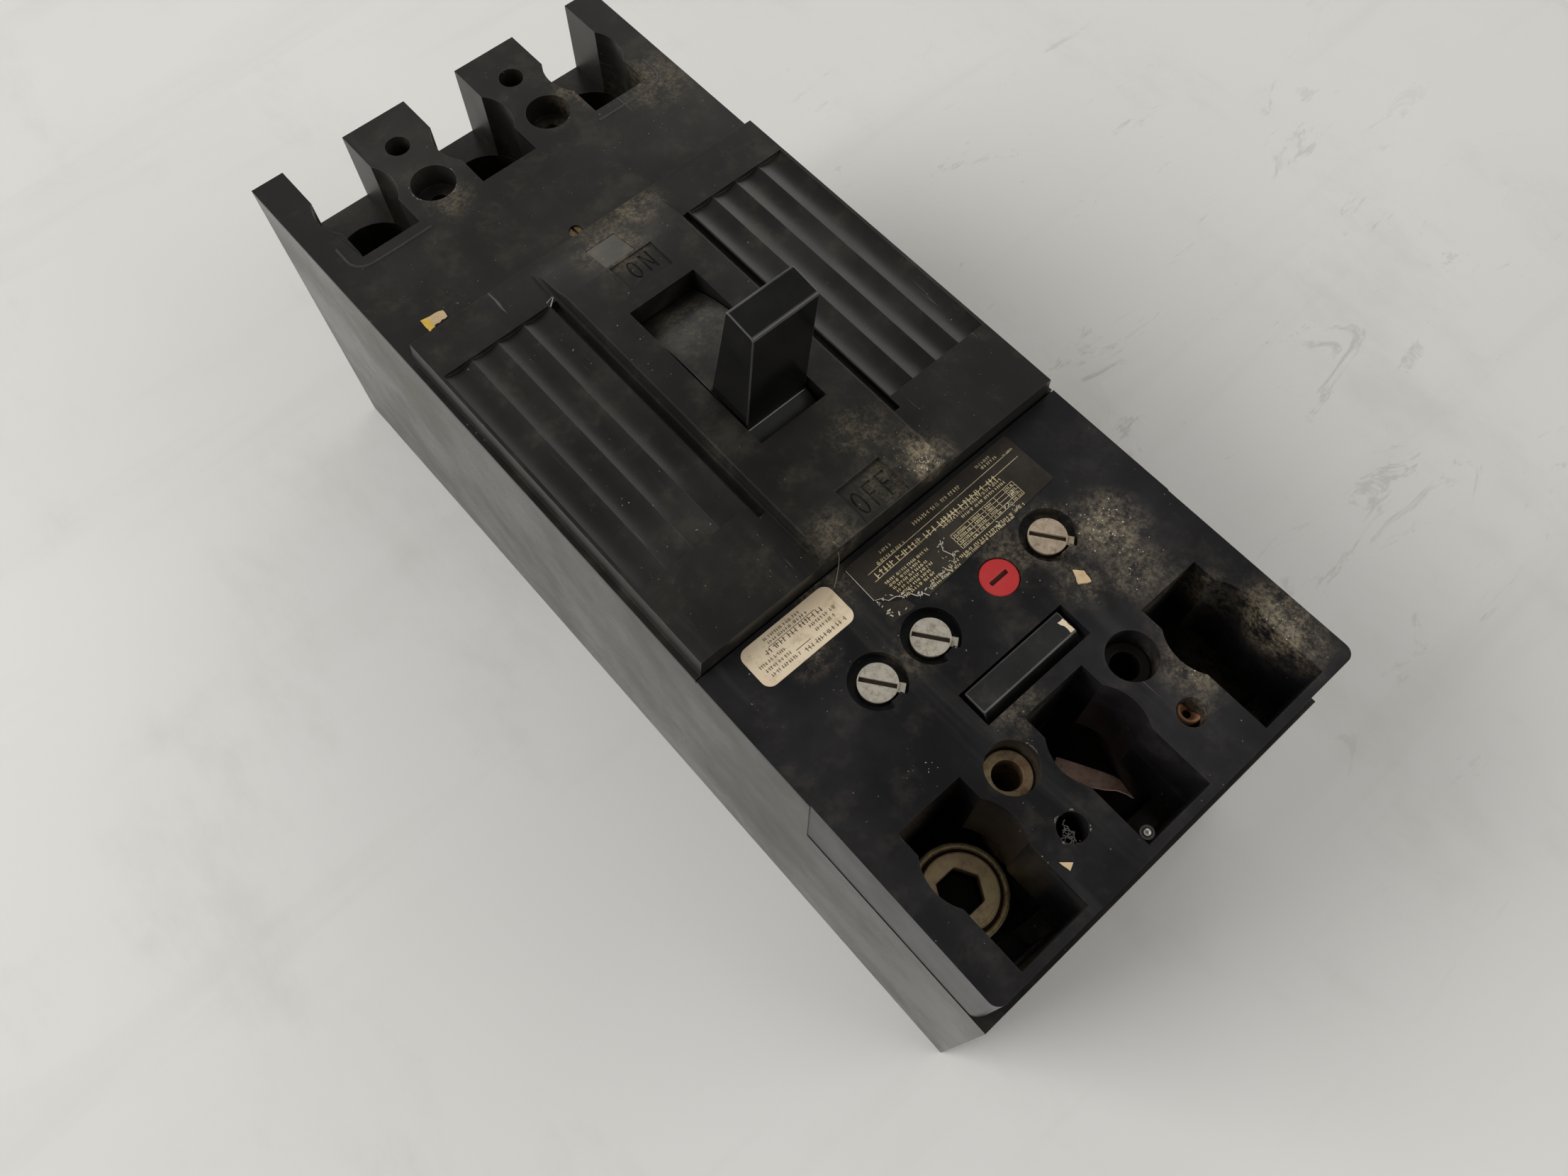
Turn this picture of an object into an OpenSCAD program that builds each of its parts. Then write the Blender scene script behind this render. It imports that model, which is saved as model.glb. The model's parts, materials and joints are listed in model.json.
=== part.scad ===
// Three-pole molded case circuit breaker lying on its back.
// X runs across the poles, +Y points to the line end, +Z to the handle side.
// The origin is the centre of the flat back face.

/* [Body] */
// Width of the base across the three poles
body_w = 105; // [104:0.5:106]
// Length of the base from load end to line end
body_l = 257.2; // [256:0.2:259]
// Outer wall thickness of the base
wall = 3; // [2.5:0.1:3.2]
// Thickness of the back of the base
floor_t = 4; // [3:0.5:5]
// Height of the flat front at both ends
end_top = 97.2; // [97:0.1:98]
// Height of the raised centre section
plateau_top = 103.2; // [102:0.1:103.6]
// Height of the pad round the handle
pad_top = 106; // [105.6:0.1:106.4]
// Distance between neighbouring poles
pole_pitch = 35; // [34.8:0.1:35.2]

/* [Mounting] */
// Diameter of the four mounting holes
mount_d = 6.4; // [6:0.1:6.6]
// Distance of the mounting holes from the centre line
mount_x = 17.5; // [17.3:0.1:17.7]
// Position of the line end mounting holes
mount_line_y = 117; // [116:0.5:118]
// Position of the load end mounting holes
mount_load_y = -112; // [-112.5:0.1:-111.5]

/* [Handle] */
// Width of the handle
handle_w = 17; // [16:0.2:17.4]
// Height of the handle tip above the pivot
handle_reach = 78.4; // [70:0.2:80]
// Lean of the handle towards the load end in its off position
handle_lean = 8.2; // [8:0.1:8.6]

/* [Contacts] */
// Angle by which the contact arms stand open in the off position
contact_open = 22.5; // [20:0.5:23]
// Number of plates in each arc chute
chute_plates = 8; // [6:1:9]

/* [Trip unit] */
// Radius of the adjustment dial heads
dial_r = 4.3; // [4:0.1:4.5]
// Turn of the dial pointers from +X
dial_pointer = -53; // [-54:1:-44]
// Radius of the trip button
button_r = 4.4; // [4.2:0.1:4.6]

/* [Hidden] */
$fn = 48;

eps = 0.01;
half_w = body_w / 2;
half_l = body_l / 2;
poles = [-pole_pitch, 0, pole_pitch];

// Height of the base walls, and of the lower walls at the load end
base_rim = 96;
load_rim = 72;
// Where the low walls begin, and the two ends of the trip unit cover
load_step_y = -75.5;
unit_end_y = -126;
unit_corner_r = 2.5;
unit_start_y = -41.4;
unit_top = 97.5;
// Ends of the raised centre section
plateau_y0 = -41;
plateau_y1 = 60.5;
plateau_x = 51;
// Half width of the pad round the handle, and the end of its level part
pad_x = 17.5;
pad_y1 = 45.5;
pad_y2 = 58.5;
pad_slope = atan((pad_top - plateau_top) / (pad_y2 - pad_y1));

// Walls between the poles
partition_x = 17.5;
partition_t = 3;
cavity_y0 = -88;
cavity_y1 = 90;
partition_top = 89.5;

// Pockets over the line terminals
line_pocket_y = 93.5;
line_circle_y = 109.5;
line_circle_r = 10.6;
line_pocket_x = 8.1;
line_ledge = 77;
slot_end_x = 8.65;
// Pockets over the load terminals
load_pocket_y = -90.5;
load_circle_y = -103;
load_circle_r = 10.8;
load_pocket_x = 8.4;
load_pocket_end = -124;
// Wire entries in both end faces
entry_x = 8.5;
entry_z0 = 40;
entry_z1 = 62;
// Level of the terminal straps
strap_z = 36;
strap_t = 3;
strap_w = 14;
// Screws through the straps
line_screw_y = 98;
load_screw_y = -96;
strap_screw_r = 2.6;

// Counterbored holes for the cover screws
cover_screw_x = 17.6;
cover_screw_line_y = 101.3;
cover_screw_load_y = -96.1;
counterbore_r = 5.7;
counterbore_floor = 90.6;
screw_hole_r = 2.4;
bushing_r = 4;

// Handle, its pivot and its slot
handle_y = 10;
handle_z = 62.5;
grip_offset = -4.4;
slot_x = 9.3;
slot_y0 = -12.2;
slot_y1 = 32.8;
drum_x = 8.8;
drum_r = 43.3;
drum_t = 1.2;
yoke_x0 = 13.2;
yoke_x1 = 14.7;
yoke_seat = 27.5;
yoke_t = 1.5;

// Pivots of the mechanism, each as [y, z]
crossbar_at = [2, 24];
cradle_at = [24, 58];
upper_at = [4, 60];
lever_at = [8, 34.4];
knee_at = [-1.5, 46];
latch_at = [-34, 56];
rear_pin_at = [-24, 26];
front_pin_at = [30, 9];
trip_bar_at = [-60, 74];
armature_at = [-59.4, 50];
side_plate_x0 = 10;
side_plate_x1 = 11.5;
pin_r = 1.5;
fit = 0.06;
crossbar_r = 6;
crossbar_half = 46;
arm_w = 7;

// Load lug and its screw
lug_y = -105.4;
lug_z = strap_z + strap_t;
lug_h = 25;
lug_block_h = 15;
lug_screw_r = 8.6;
lug_collar_r = 10.9;

// Front of the trip unit
dial_xy = [[-25, -65.7], [-10, -65.7], [25, -65.7]];
calibration_at = [-0.4, 66.2];
button_xy = [10, -65.7];
button_seat = 87.2;
insert_x = 15;
insert_y0 = -87;
insert_y1 = -78.5;

// A box given by its two corners
module span(x, y, z) {
    translate([x[0], y[0], z[0]])
        cube([x[1] - x[0], y[1] - y[0], z[1] - z[0]]);
}

// A cylinder along X between two stations, at [y, z]
module rod_x(x0, x1, at, r) {
    translate([x0, at[0], at[1]]) rotate([0, 90, 0]) cylinder(r = r, h = x1 - x0);
}

// A cylinder along Z between two heights, at [x, y]
module rod_z(z0, z1, at, r) {
    translate([at[0], at[1], z0]) cylinder(r = r, h = z1 - z0);
}

// A profile in the YZ plane, thick along X from x0 to x1
module plate_x(x0, x1) {
    translate([x0, 0, 0]) rotate([90, 0, 90]) linear_extrude(x1 - x0) children();
}

// A flat link with round ends between two points, as a 2D shape
module link_2d(a, b, ra, rb) {
    hull() {
        translate(a) circle(ra, $fn = 32);
        translate(b) circle(rb, $fn = 32);
    }
}

// The same on both sides of the centre plane
module both_sides() {
    children();
    mirror([1, 0, 0]) children();
}

// Outlines of the terminal pockets seen from the front
module line_pocket_2d(x) {
    translate([x - line_pocket_x, line_pocket_y])
        square([2 * line_pocket_x, line_circle_y - line_pocket_y]);
    translate([x, line_circle_y]) circle(line_circle_r);
}

module load_pocket_2d(x) {
    mouth_x = 9;
    translate([x - load_pocket_x, load_circle_y])
        square([2 * load_pocket_x, load_pocket_y - load_circle_y]);
    translate([x, load_circle_y]) circle(load_circle_r);
    translate([x - mouth_x, load_pocket_end])
        square([2 * mouth_x, load_circle_y - load_pocket_end]);
}

// The four mounting holes from z0 to z1
module mounting_holes(z0, z1) {
    for (side = [-1, 1], y = [mount_line_y, mount_load_y])
        rod_z(z0, z1, [side * mount_x, y], mount_d / 2);
}

// The cover screw holes at one end, counterbored from the front
module cover_screw_holes(y, z0, z1) {
    for (side = [-1, 1]) {
        rod_z(z0, z1, [side * cover_screw_x, y], screw_hole_r);
        rod_z(counterbore_floor, z1, [side * cover_screw_x, y], counterbore_r);
    }
}

module base() {
    color("#2b2a28") difference() {
        union() {
            span([-half_w, half_w], [-half_l, half_l], [0, load_rim]);
            span([-half_w, half_w], [load_step_y, half_l], [load_rim - eps, base_rim]);
        }
        base_pole_chambers();
        base_cover_seat();
        for (x = poles) base_line_end(x);
        for (x = poles) base_load_end(x);
        mounting_holes(-1, base_rim + 1);
        for (side = [-1, 1], y = [cover_screw_line_y, cover_screw_load_y])
            rod_z(50, base_rim + 1, [side * cover_screw_x, y], screw_hole_r);
        // Room for the crossbar and the trip bar in the pole walls
        span([-30, 30], [-9, 13], [13, base_rim + 1]);
        span([-30, 30], [-70, -52], [60, base_rim + 1]);
        // Shallow pocket in the back
        span([-40, 40], [-80, 80], [-1, 1]);
    }
}

// Three long chambers side by side
module base_pole_chambers() {
    inner = half_w - wall;
    span([-inner, -partition_x - partition_t / 2], [cavity_y0, cavity_y1],
        [floor_t, base_rim + 1]);
    span([-partition_x + partition_t / 2, partition_x - partition_t / 2],
        [cavity_y0, cavity_y1], [floor_t, base_rim + 1]);
    span([partition_x + partition_t / 2, inner], [cavity_y0, cavity_y1],
        [floor_t, base_rim + 1]);
}

// Space that the inner part of the main cover fills
module base_cover_seat() {
    inner = half_w - wall;
    span([-inner, inner], [load_step_y - 1, cavity_y1], [partition_top, base_rim + 1]);
    span([-inner, inner], [cavity_y1 - 1, half_l + 1], [line_ledge, base_rim + 1]);
}

// Well, strap channel and wire entry of one line terminal
module base_line_end(x) {
    translate([0, 0, strap_z]) linear_extrude(base_rim) line_pocket_2d(x);
    span([x - entry_x, x + entry_x], [line_circle_y, half_l + 1], [entry_z0, entry_z1]);
    span([x - strap_w / 2, x + strap_w / 2], [cavity_y1 - 1, 122],
        [strap_z, strap_z + strap_t]);
    span([x - strap_w / 2, x + strap_w / 2], [cavity_y1 - 1, cavity_y1 + 3],
        [10, strap_z + strap_t]);
}

// Well, strap channel and wire entry of one load terminal
module base_load_end(x) {
    well_x = 11.2;
    span([x - well_x, x + well_x], [-119, load_pocket_y], [strap_z, load_rim + 1]);
    translate([0, 0, strap_z]) linear_extrude(base_rim) load_pocket_2d(x);
    span([x - entry_x, x + entry_x], [-half_l - 1, load_circle_y], [entry_z0, entry_z1]);
    span([x - strap_w / 2, x + strap_w / 2], [-92, cavity_y0 + 1],
        [16, strap_z + strap_t]);
}

module main_cover() {
    inner = half_w - wall;
    color("#2b2a28") difference() {
        union() {
            span([-half_w, half_w], [plateau_y1 - 1, half_l], [base_rim, end_top]);
            span([-half_w, half_w], [plateau_y0, plateau_y1], [base_rim, end_top]);
            span([-inner, inner], [plateau_y0, cavity_y1], [partition_top, end_top - eps]);
            span([-inner, inner], [cavity_y1 - eps, half_l], [line_ledge, end_top - eps]);
            cover_plateau();
            cover_pad();
        }
        // Hollow over the mechanism and the arc chutes
        span([-46, 46], [-38.5, 87], [partition_top - 1, 93]);
        span([-46, 46], [-38.5, 57.5], [partition_top - 1, 98.6]);
        // Slot of the handle and guide of its shield
        span([-slot_x, slot_x], [slot_y0, slot_y1], [90, pad_top + 1]);
        intersection() {
            rod_x(-slot_x, slot_x, [handle_y, handle_z], drum_r + 0.5);
            span([-slot_x, slot_x], [plateau_y0 + 2, plateau_y1 - 2], [90, 102]);
        }
        both_sides() {
            cover_flutes();
            span([pad_x + 1, 20.5], [-24, 48.5], [101.2, pad_top]);
        }
        cover_line_slots();
        cover_screw_holes(cover_screw_line_y, line_ledge - 1, end_top + 1);
        mounting_holes(line_ledge - 1, end_top + 1);
        // Recesses behind the words beside the handle, window and small screw
        span([-5.5, 7], [plateau_y0 - 1, -31], [pad_top - 0.7, pad_top + 1]);
        span([-5, 7], [37.2, pad_y1], [pad_top - 0.4, pad_top + 1]);
        on_window_slope(-0.8, 3);
        translate([0, -39.4, pad_top - 1.1]) linear_extrude(2) off_2d();
        translate([0, 39, pad_top - 0.8]) linear_extrude(2) on_2d();
        rod_z(94, end_top + 1, calibration_at, 1.8);
    }
}

// Narrow letters 2.6 wide and 6 high, drawn from their lower left corner
module letter_o_2d() {
    difference() {
        translate([1.3, 3]) scale([1.3, 3]) circle(1);
        translate([1.3, 3]) scale([0.75, 2.45]) circle(1);
    }
}

module letter_f_2d() {
    square([0.55, 6]);
    translate([0, 5.45]) square([2.6, 0.55]);
    translate([0, 2.9]) square([2, 0.55]);
}

module letter_n_2d() {
    square([0.55, 6]);
    translate([2.05, 0]) square([0.55, 6]);
    polygon([[0, 6], [2.05, 0], [2.6, 0], [0.55, 6]]);
}

module off_2d() {
    translate([-4.4, 0]) letter_o_2d();
    translate([-0.6, 0]) letter_f_2d();
    translate([3.2, 0]) letter_f_2d();
}

module on_2d() {
    translate([-2, 0]) scale([1, 0.9]) letter_o_2d();
    translate([2, 0]) scale([1, 0.9]) letter_n_2d();
}

// A slab on the sloping rear of the pad, where the window lies
module on_window_slope(z0, z1) {
    translate([0, pad_y1, pad_top]) rotate([-pad_slope, 0, 0])
        span([-5.4, 3], [0.8, 9.2], [z0, z1]);
}

// Raised centre section with sloping flanks
module cover_plateau() {
    rotate([90, 0, 0]) translate([0, 0, -plateau_y1])
        linear_extrude(plateau_y1 - plateau_y0)
        polygon([[-plateau_x, end_top - eps], [-plateau_x + 0.6, plateau_top],
            [plateau_x - 0.6, plateau_top], [plateau_x, end_top - eps]]);
}

// Pad round the handle slot, sloping down to the line end
module cover_pad() {
    bevel = 0.8;
    pad_ledge = plateau_top + 0.6;
    intersection() {
        plate_x(-pad_x - 1, pad_x + 1)
            polygon([[plateau_y0, plateau_top - 1], [plateau_y0, pad_top - 0.8],
                [plateau_y0 + 2, pad_top], [pad_y1, pad_top], [pad_y2, plateau_top - eps],
                [pad_y2, plateau_top - 1]]);
        rotate([90, 0, 0]) translate([0, 0, -60]) linear_extrude(102)
            polygon([[-pad_x - 1, plateau_top - 1], [-pad_x - 1, pad_ledge],
                [-pad_x, pad_ledge], [-pad_x, pad_top - bevel],
                [-pad_x + bevel / 2, pad_top], [pad_x - bevel / 2, pad_top],
                [pad_x, pad_top - bevel], [pad_x, pad_ledge], [pad_x + 1, pad_ledge],
                [pad_x + 1, plateau_top - 1]]);
    }
}

// Four shallow flutes on one side of the pad
module cover_flutes() {
    first = 20.9;
    pitch = 7.15;
    flute_r = 8.6;
    flute_depth = 1.25;
    for (i = [0:3])
        intersection() {
            translate([first + pitch * (i + 0.5), -20.5, plateau_top + flute_r - flute_depth])
                rotate([-90, 0, 0]) cylinder(r = flute_r, h = 69);
            span([first + pitch * i, first + pitch * (i + 1)], [-21, 49],
                [plateau_top - 3, plateau_top + 1]);
        }
}

// Open slots and pocket outlines over the three line terminals
module cover_line_slots() {
    translate([0, 0, line_ledge - 1]) linear_extrude(30) {
        for (x = poles) {
            line_pocket_2d(x);
            half = x == 0 ? 7.85 : slot_end_x;
            translate([x - half, line_circle_y]) square([2 * half, 30]);
        }
    }
}

module trip_unit_cover() {
    inner = half_w - wall;
    color("#28282b") difference() {
        union() {
            difference() {
                union() {
                    span([-half_w + 0.2, half_w - 0.2], [unit_end_y, load_step_y],
                        [load_rim, unit_top]);
                    span([-half_w, half_w], [load_step_y - eps, unit_start_y],
                        [base_rim, unit_top]);
                    span([-inner, inner], [load_step_y - eps, unit_start_y],
                        [partition_top, unit_top]);
                }
                span([-46, 46], [-87.5, unit_start_y - 2], [load_rim - 1, 92.5]);
            }
            rod_z(button_seat - 1.2, 93, button_xy, button_r + 1.9);
        }
        translate([0, 0, load_rim - 1]) linear_extrude(40)
            for (x = poles) load_pocket_2d(x);
        for (side = [-1, 1]) corner_cut(side, load_rim - 1, unit_top + 1);
        cover_screw_holes(cover_screw_load_y, load_rim - 1, unit_top + 1);
        for (side = [-1, 1])
            rod_z(load_rim - 1, unit_top, [side * cover_screw_x, cover_screw_load_y], bushing_r);
        mounting_holes(load_rim - 1, unit_top + 1);
        for (at = dial_xy) dial_recess(at);
        rod_z(button_seat, unit_top + 1, button_xy, button_r + 0.12);
        rod_z(80, unit_top, button_xy, 2.1);
        span([-insert_x, insert_x], [insert_y0, insert_y1], [93.2, unit_top + 1]);
    }
}

// What rounds off one upright corner of the load end
module corner_cut(side, z0, z1) {
    r = unit_corner_r;
    translate([side * (half_w - 0.2 - r), unit_end_y + r, z0]) difference() {
        translate([side > 0 ? 0 : -r - 1, -r - 1, 0]) cube([r + 1, r + 1, z1 - z0]);
        translate([0, 0, -1]) cylinder(r = r, h = z1 - z0 + 2);
    }
}

// Keyhole recess that limits the turn of a dial pointer
module dial_recess(at) {
    rod_z(94.5, unit_top + 1, at, 4.9);
    rod_z(90, unit_top, at, 2.5);
    difference() {
        rod_z(94.5, unit_top + 1, at, 6.4);
        translate([at[0], at[1], 94]) linear_extrude(10)
            polygon([[0, 0], [12 * cos(-100), 12 * sin(-100)],
                [12 * cos(-67), 12 * sin(-67)]]);
    }
}

// Everything that turns with the handle is drawn upright about the pivot
module at_handle() {
    translate([0, handle_y, handle_z]) rotate([handle_lean, 0, 0]) children();
}

// Side view of the grip, from its seat on the yoke to its tip
module grip_2d() {
    foot = 6.9;
    tip = 4.1;
    edge = 0.5;
    translate([grip_offset, 0])
        polygon([[-foot, yoke_seat], [foot, yoke_seat], [tip, handle_reach - edge],
            [tip - edge, handle_reach], [-tip + edge, handle_reach],
            [-tip, handle_reach - edge]]);
}

module operating_handle() {
    color("#141416") at_handle() plate_x(-handle_w / 2, handle_w / 2) grip_2d();
}

// Steel yoke that straddles the mechanism and carries the handle
module handle_yoke() {
    color("#8f8f8b") at_handle() {
        both_sides() difference() {
            plate_x(yoke_x0, yoke_x1)
                polygon([[-5, -4], [-3, -6], [3, -6], [5, -4], [8, yoke_seat],
                    [-12, yoke_seat]]);
            rod_x(yoke_x0 - 1, yoke_x1 + 1, [0, 0], 2.5 + fit);
        }
        span([-yoke_x0, yoke_x0], [-12, 8], [yoke_seat - yoke_t, yoke_seat]);
    }
}

// Arched shield that closes the slot round the grip, concentric with the pivot
module handle_shield() {
    from = -58;
    to = 46;
    color("#1d1d1f") at_handle() difference() {
        plate_x(-drum_x, drum_x) difference() {
            circle(drum_r);
            circle(drum_r - drum_t);
            polygon([[0, 0], [90 * sin(to), 90 * cos(to)], [90, 0], [90, -90], [-90, -90],
                [-90, 0], [90 * sin(from), 90 * cos(from)]]);
        }
        plate_x(-handle_w / 2, handle_w / 2) grip_2d();
    }
}

module mechanism_side_plates() {
    color("#a9a89f") both_sides() difference() {
        plate_x(side_plate_x0, side_plate_x1)
            polygon([[-30, floor_t], [36, floor_t], [36, 62], [26, 79], [-6, 79],
                [-42, 66], [-42, 50], [-30, 44]]);
        rod_x(5, 15, crossbar_at, crossbar_r + fit);
        rod_x(5, 15, cradle_at, 2.5);
        rod_x(5, 15, latch_at, 2);
        rod_x(5, 15, rear_pin_at, 2);
        rod_x(5, 15, front_pin_at, 2);
        rod_x(5, 15, [handle_y, handle_z], 2);
    }
}

module frame_cross_pins() {
    color("#c2c2bc") {
        rod_x(-side_plate_x1, side_plate_x1, cradle_at, 2.5);
        rod_x(-side_plate_x1, side_plate_x1, latch_at, 2);
        rod_x(-side_plate_x1, side_plate_x1, rear_pin_at, 2);
        rod_x(-side_plate_x1, side_plate_x1, front_pin_at, 2);
        both_sides() {
            rod_x(side_plate_x0, side_plate_x1, [handle_y, handle_z], 2);
            rod_x(side_plate_x1, yoke_x1 + 0.5, [handle_y, handle_z], 2.5);
        }
    }
}

module cradle() {
    color("#b5b2a6") {
        difference() {
            plate_x(-2, 2) {
                link_2d(cradle_at, upper_at, 5, 4);
                link_2d(upper_at, [-24.6, 62], 4, 3);
            }
            rod_x(-3, 3, cradle_at, 2.5 + fit);
        }
        both_sides() rod_x(2, 5, upper_at, pin_r);
    }
}

module latch_lever() {
    color("#9b988c") difference() {
        plate_x(-3, 3) {
            link_2d(latch_at, [-30, 68], 3.6, 2);
            link_2d(latch_at, [-50, 62], 3.6, 2);
        }
        rod_x(-4, 4, latch_at, 2 + fit);
    }
}

module upper_links() {
    hole_r = 3.6;
    color("#b9b6ab") both_sides() difference() {
        plate_x(3, 4.5) link_2d(upper_at, knee_at, 3, 5.2);
        rod_x(2, 6, upper_at, pin_r + fit);
        rod_x(2, 6, knee_at, hole_r);
    }
}

module lower_links() {
    color("#b9b6ab") both_sides() difference() {
        plate_x(5.2, 6.7) link_2d(lever_at, knee_at, 3, 3);
        rod_x(4, 8, lever_at, pin_r + fit);
        rod_x(4, 8, knee_at, pin_r);
    }
}

module toggle_pin() {
    color("#d0d0cb") rod_x(-9, 9, knee_at, pin_r);
}

// Coil of a spring as stacked rings on a thin core, along Z from z0 to z1
module spring_z(z0, z1, r, wire, turns) {
    step = (z1 - z0 - wire) / (turns - 1);
    difference() {
        rod_z(z0, z1, [0, 0], r - wire * 0.35);
        rod_z(z0 - 1, z1 + 1, [0, 0], r - wire);
    }
    for (i = [0:turns - 1])
        translate([0, 0, z0 + wire / 2 + i * step]) rotate_extrude()
            translate([r - wire / 2, 0]) circle(wire / 2, $fn = 16);
}

// Two springs from the toggle pin up to the bridge of the yoke
module operating_springs() {
    spring_x = 7.5;
    z0 = knee_at[1] + 3.4;
    color("#c9c9c4") for (side = [-1, 1])
        translate([side * spring_x, knee_at[0], 0]) {
            spring_z(z0, 86.7, 1.8, 0.8, 16);
            rod_z(z0, z0 + 0.8, [0, 0], 1.8);
            rod_z(knee_at[1] + pin_r + 0.5, z0 + 0.4, [0, 0], 0.5);
            difference() {
                rod_x(-0.5, 0.5, [0, knee_at[1]], pin_r + 0.9);
                rod_x(-1, 1, [0, knee_at[1]], pin_r + fit);
            }
        }
}

module crossbar() {
    color("#6b4a2e") {
        rod_x(-crossbar_half, crossbar_half, crossbar_at, crossbar_r);
        both_sides() {
            difference() {
                plate_x(7.4, 9) link_2d(crossbar_at, lever_at, 7, 3);
                rod_x(0, 20, crossbar_at, crossbar_r - 0.5);
            }
            rod_x(5, 7.4, lever_at, pin_r);
        }
    }
}

// Contact arm at one pole, in the open position
module contact_arm(x) {
    hub_r = 9.4;
    color("#b87a4b") at_open_contact() difference() {
        plate_x(x - arm_w / 2, x + arm_w / 2) {
            circle(hub_r);
            polygon([[0, -5], [60, -5], [60, -2], [50, 0.6], [0, 1.4]]);
        }
        rod_x(x - arm_w, x + arm_w, [0, 0], crossbar_r);
    }
}

module at_open_contact() {
    translate([0, crossbar_at[0], crossbar_at[1]]) rotate([contact_open, 0, 0]) children();
}

module moving_contacts() {
    color("#d9d6cc") at_open_contact() for (x = poles)
        span([x - 3, x + 3], [51, 59], [-7.8, -5]);
}

module fixed_contacts() {
    color("#d9d6cc") for (x = poles)
        span([x - 3.5, x + 3.5], [52, 62], [13, 15.8]);
}

// Copper strap from the fixed contact to the line terminal
module line_strap(x) {
    color("#b87a4b") {
        span([x - 6, x + 6], [48, 93], [10, 13]);
        span([x - 6, x + 6], [cavity_y1, 93], [10, strap_z + strap_t]);
        difference() {
            span([x - 7, x + 7], [cavity_y1, 121], [strap_z, strap_z + strap_t]);
            rod_z(strap_z - 1, strap_z + strap_t + 1, [x, line_screw_y], strap_screw_r);
        }
    }
}

// Stack of steel plates between two fibre boards
module arc_chute(x) {
    chute_y0 = 66;
    chute_y1 = 88;
    board_t = 1.2;
    chute_z0 = 18;
    chute_z1 = 60;
    plate_t = 1.4;
    plate_half = 10;
    notch_half = 2.5;
    notch_depth = 9;
    step = (chute_z1 - chute_z0) / (chute_plates - 1);
    color("#7d7d78") {
        for (i = [0:chute_plates - 1])
            difference() {
                span([x - plate_half, x + plate_half], [chute_y0, chute_y1],
                    [chute_z0 + i * step, chute_z0 + plate_t + i * step]);
                span([x - notch_half, x + notch_half], [chute_y0 - 1, chute_y0 + notch_depth],
                    [chute_z0 - 1 + i * step, chute_z0 + 2 * plate_t + i * step]);
            }
        for (side = [-1, 1])
            span([x + side * (plate_half + board_t / 2) - board_t / 2,
                x + side * (plate_half + board_t / 2) + board_t / 2],
                [52, chute_y1], [14, 64]);
    }
}

// Flexible connection from the contact arm to the heater strap
module braid(x) {
    color("#a8663a") plate_x(x - 5, x + 5)
        polygon([[-9, 16], [-9, 19], [-20, 15], [-34, 11], [-46, 13], [-46, 10],
            [-33, 8], [-20, 12]]);
}

module heater_strap(x) {
    color("#a97248") {
        span([x - 6, x + 6], [-74, -46], [10, 13]);
        span([x - 6, x + 6], [-74, -71], [13 - eps, 46]);
    }
}

module bimetal(x) {
    color("#8c8f93") span([x - 5, x + 5], [-71, -69.8], [13, 70]);
}

module magnet_yoke(x) {
    color("#6e6f70") difference() {
        union() {
            span([x - 9, x + 9], [-77, -62.6], [26, 46]);
            for (side = [-1, 1])
                span([x + side * 8.4 - 0.6, x + side * 8.4 + 0.6], [-68, -56.8], [41, 52.6]);
        }
        span([x - 6.4, x + 6.4], [-74, -62], [25, 47]);
        rod_x(x - 10, x + 10, armature_at, 1.2 + fit);
    }
}

module armature(x) {
    color("#85878a") {
        plate_x(x - 6, x + 6)
            polygon([[-60.2, 26], [-58.8, 26], [-58.8, 50], [-60.9, 52.5], [-60.9, 53.5],
                [-62.3, 54.2], [-62.3, 67], [-63.5, 67], [-63.5, 53.2], [-60.2, 50]]);
        rod_x(x - 9, x - 6, armature_at, 1.2);
        rod_x(x + 6, x + 9, armature_at, 1.2);
    }
}

// Copper strap from the heater to the load terminal
module load_strap(x) {
    color("#b87a4b") {
        span([x - 6, x + 6], [-91, -74], [16, 19]);
        span([x - 6, x + 6], [-91, -88], [16, strap_z + strap_t]);
        difference() {
            span([x - 7, x + 7], [-119, -88], [strap_z, strap_z + strap_t]);
            rod_z(strap_z - 1, strap_z + strap_t + 1, [x, load_screw_y], strap_screw_r);
        }
    }
}

module trip_bar() {
    color("#4a2f22") {
        rod_x(-46, 46, trip_bar_at, 3.2);
        for (x = poles) span([x - 2, x + 2], [-60.8, -59], [62, 74]);
        span([7.5, 12.5], [-69, -60], [71.4, 73.9]);
        span([-2, 2], [-58, -50.5], [66, 69.5]);
        span([-2, 2], [-60, -56], [66, 74]);
    }
}

module load_lug() {
    x = -pole_pitch;
    color("#a7a8a6") difference() {
        union() {
            span([x - 10.8, x + 10.8], [-117, -91.5], [lug_z, lug_z + lug_block_h]);
            rod_z(lug_z + lug_block_h - eps, lug_z + lug_h, [x, lug_y], lug_collar_r);
        }
        rod_z(lug_z + 8, lug_z + lug_h + 1, [x, lug_y], lug_screw_r + fit);
        translate([x, -130, lug_z + 8.5]) rotate([-90, 0, 0]) cylinder(r = 7.2, h = 60);
        rod_z(lug_z - 1, lug_z + 3, [x, load_screw_y], strap_screw_r);
    }
}

// Hexagon socket screw of the lug, drawn at the top of its travel
module lug_screw() {
    top = lug_z + lug_h + 1.6;
    x = -pole_pitch;
    color("#b39a6a") difference() {
        rod_z(top - 9, top, [x, lug_y], lug_screw_r);
        translate([x, lug_y, top - 7]) cylinder(r = 5.4, h = 9, $fn = 6);
    }
}

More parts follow.
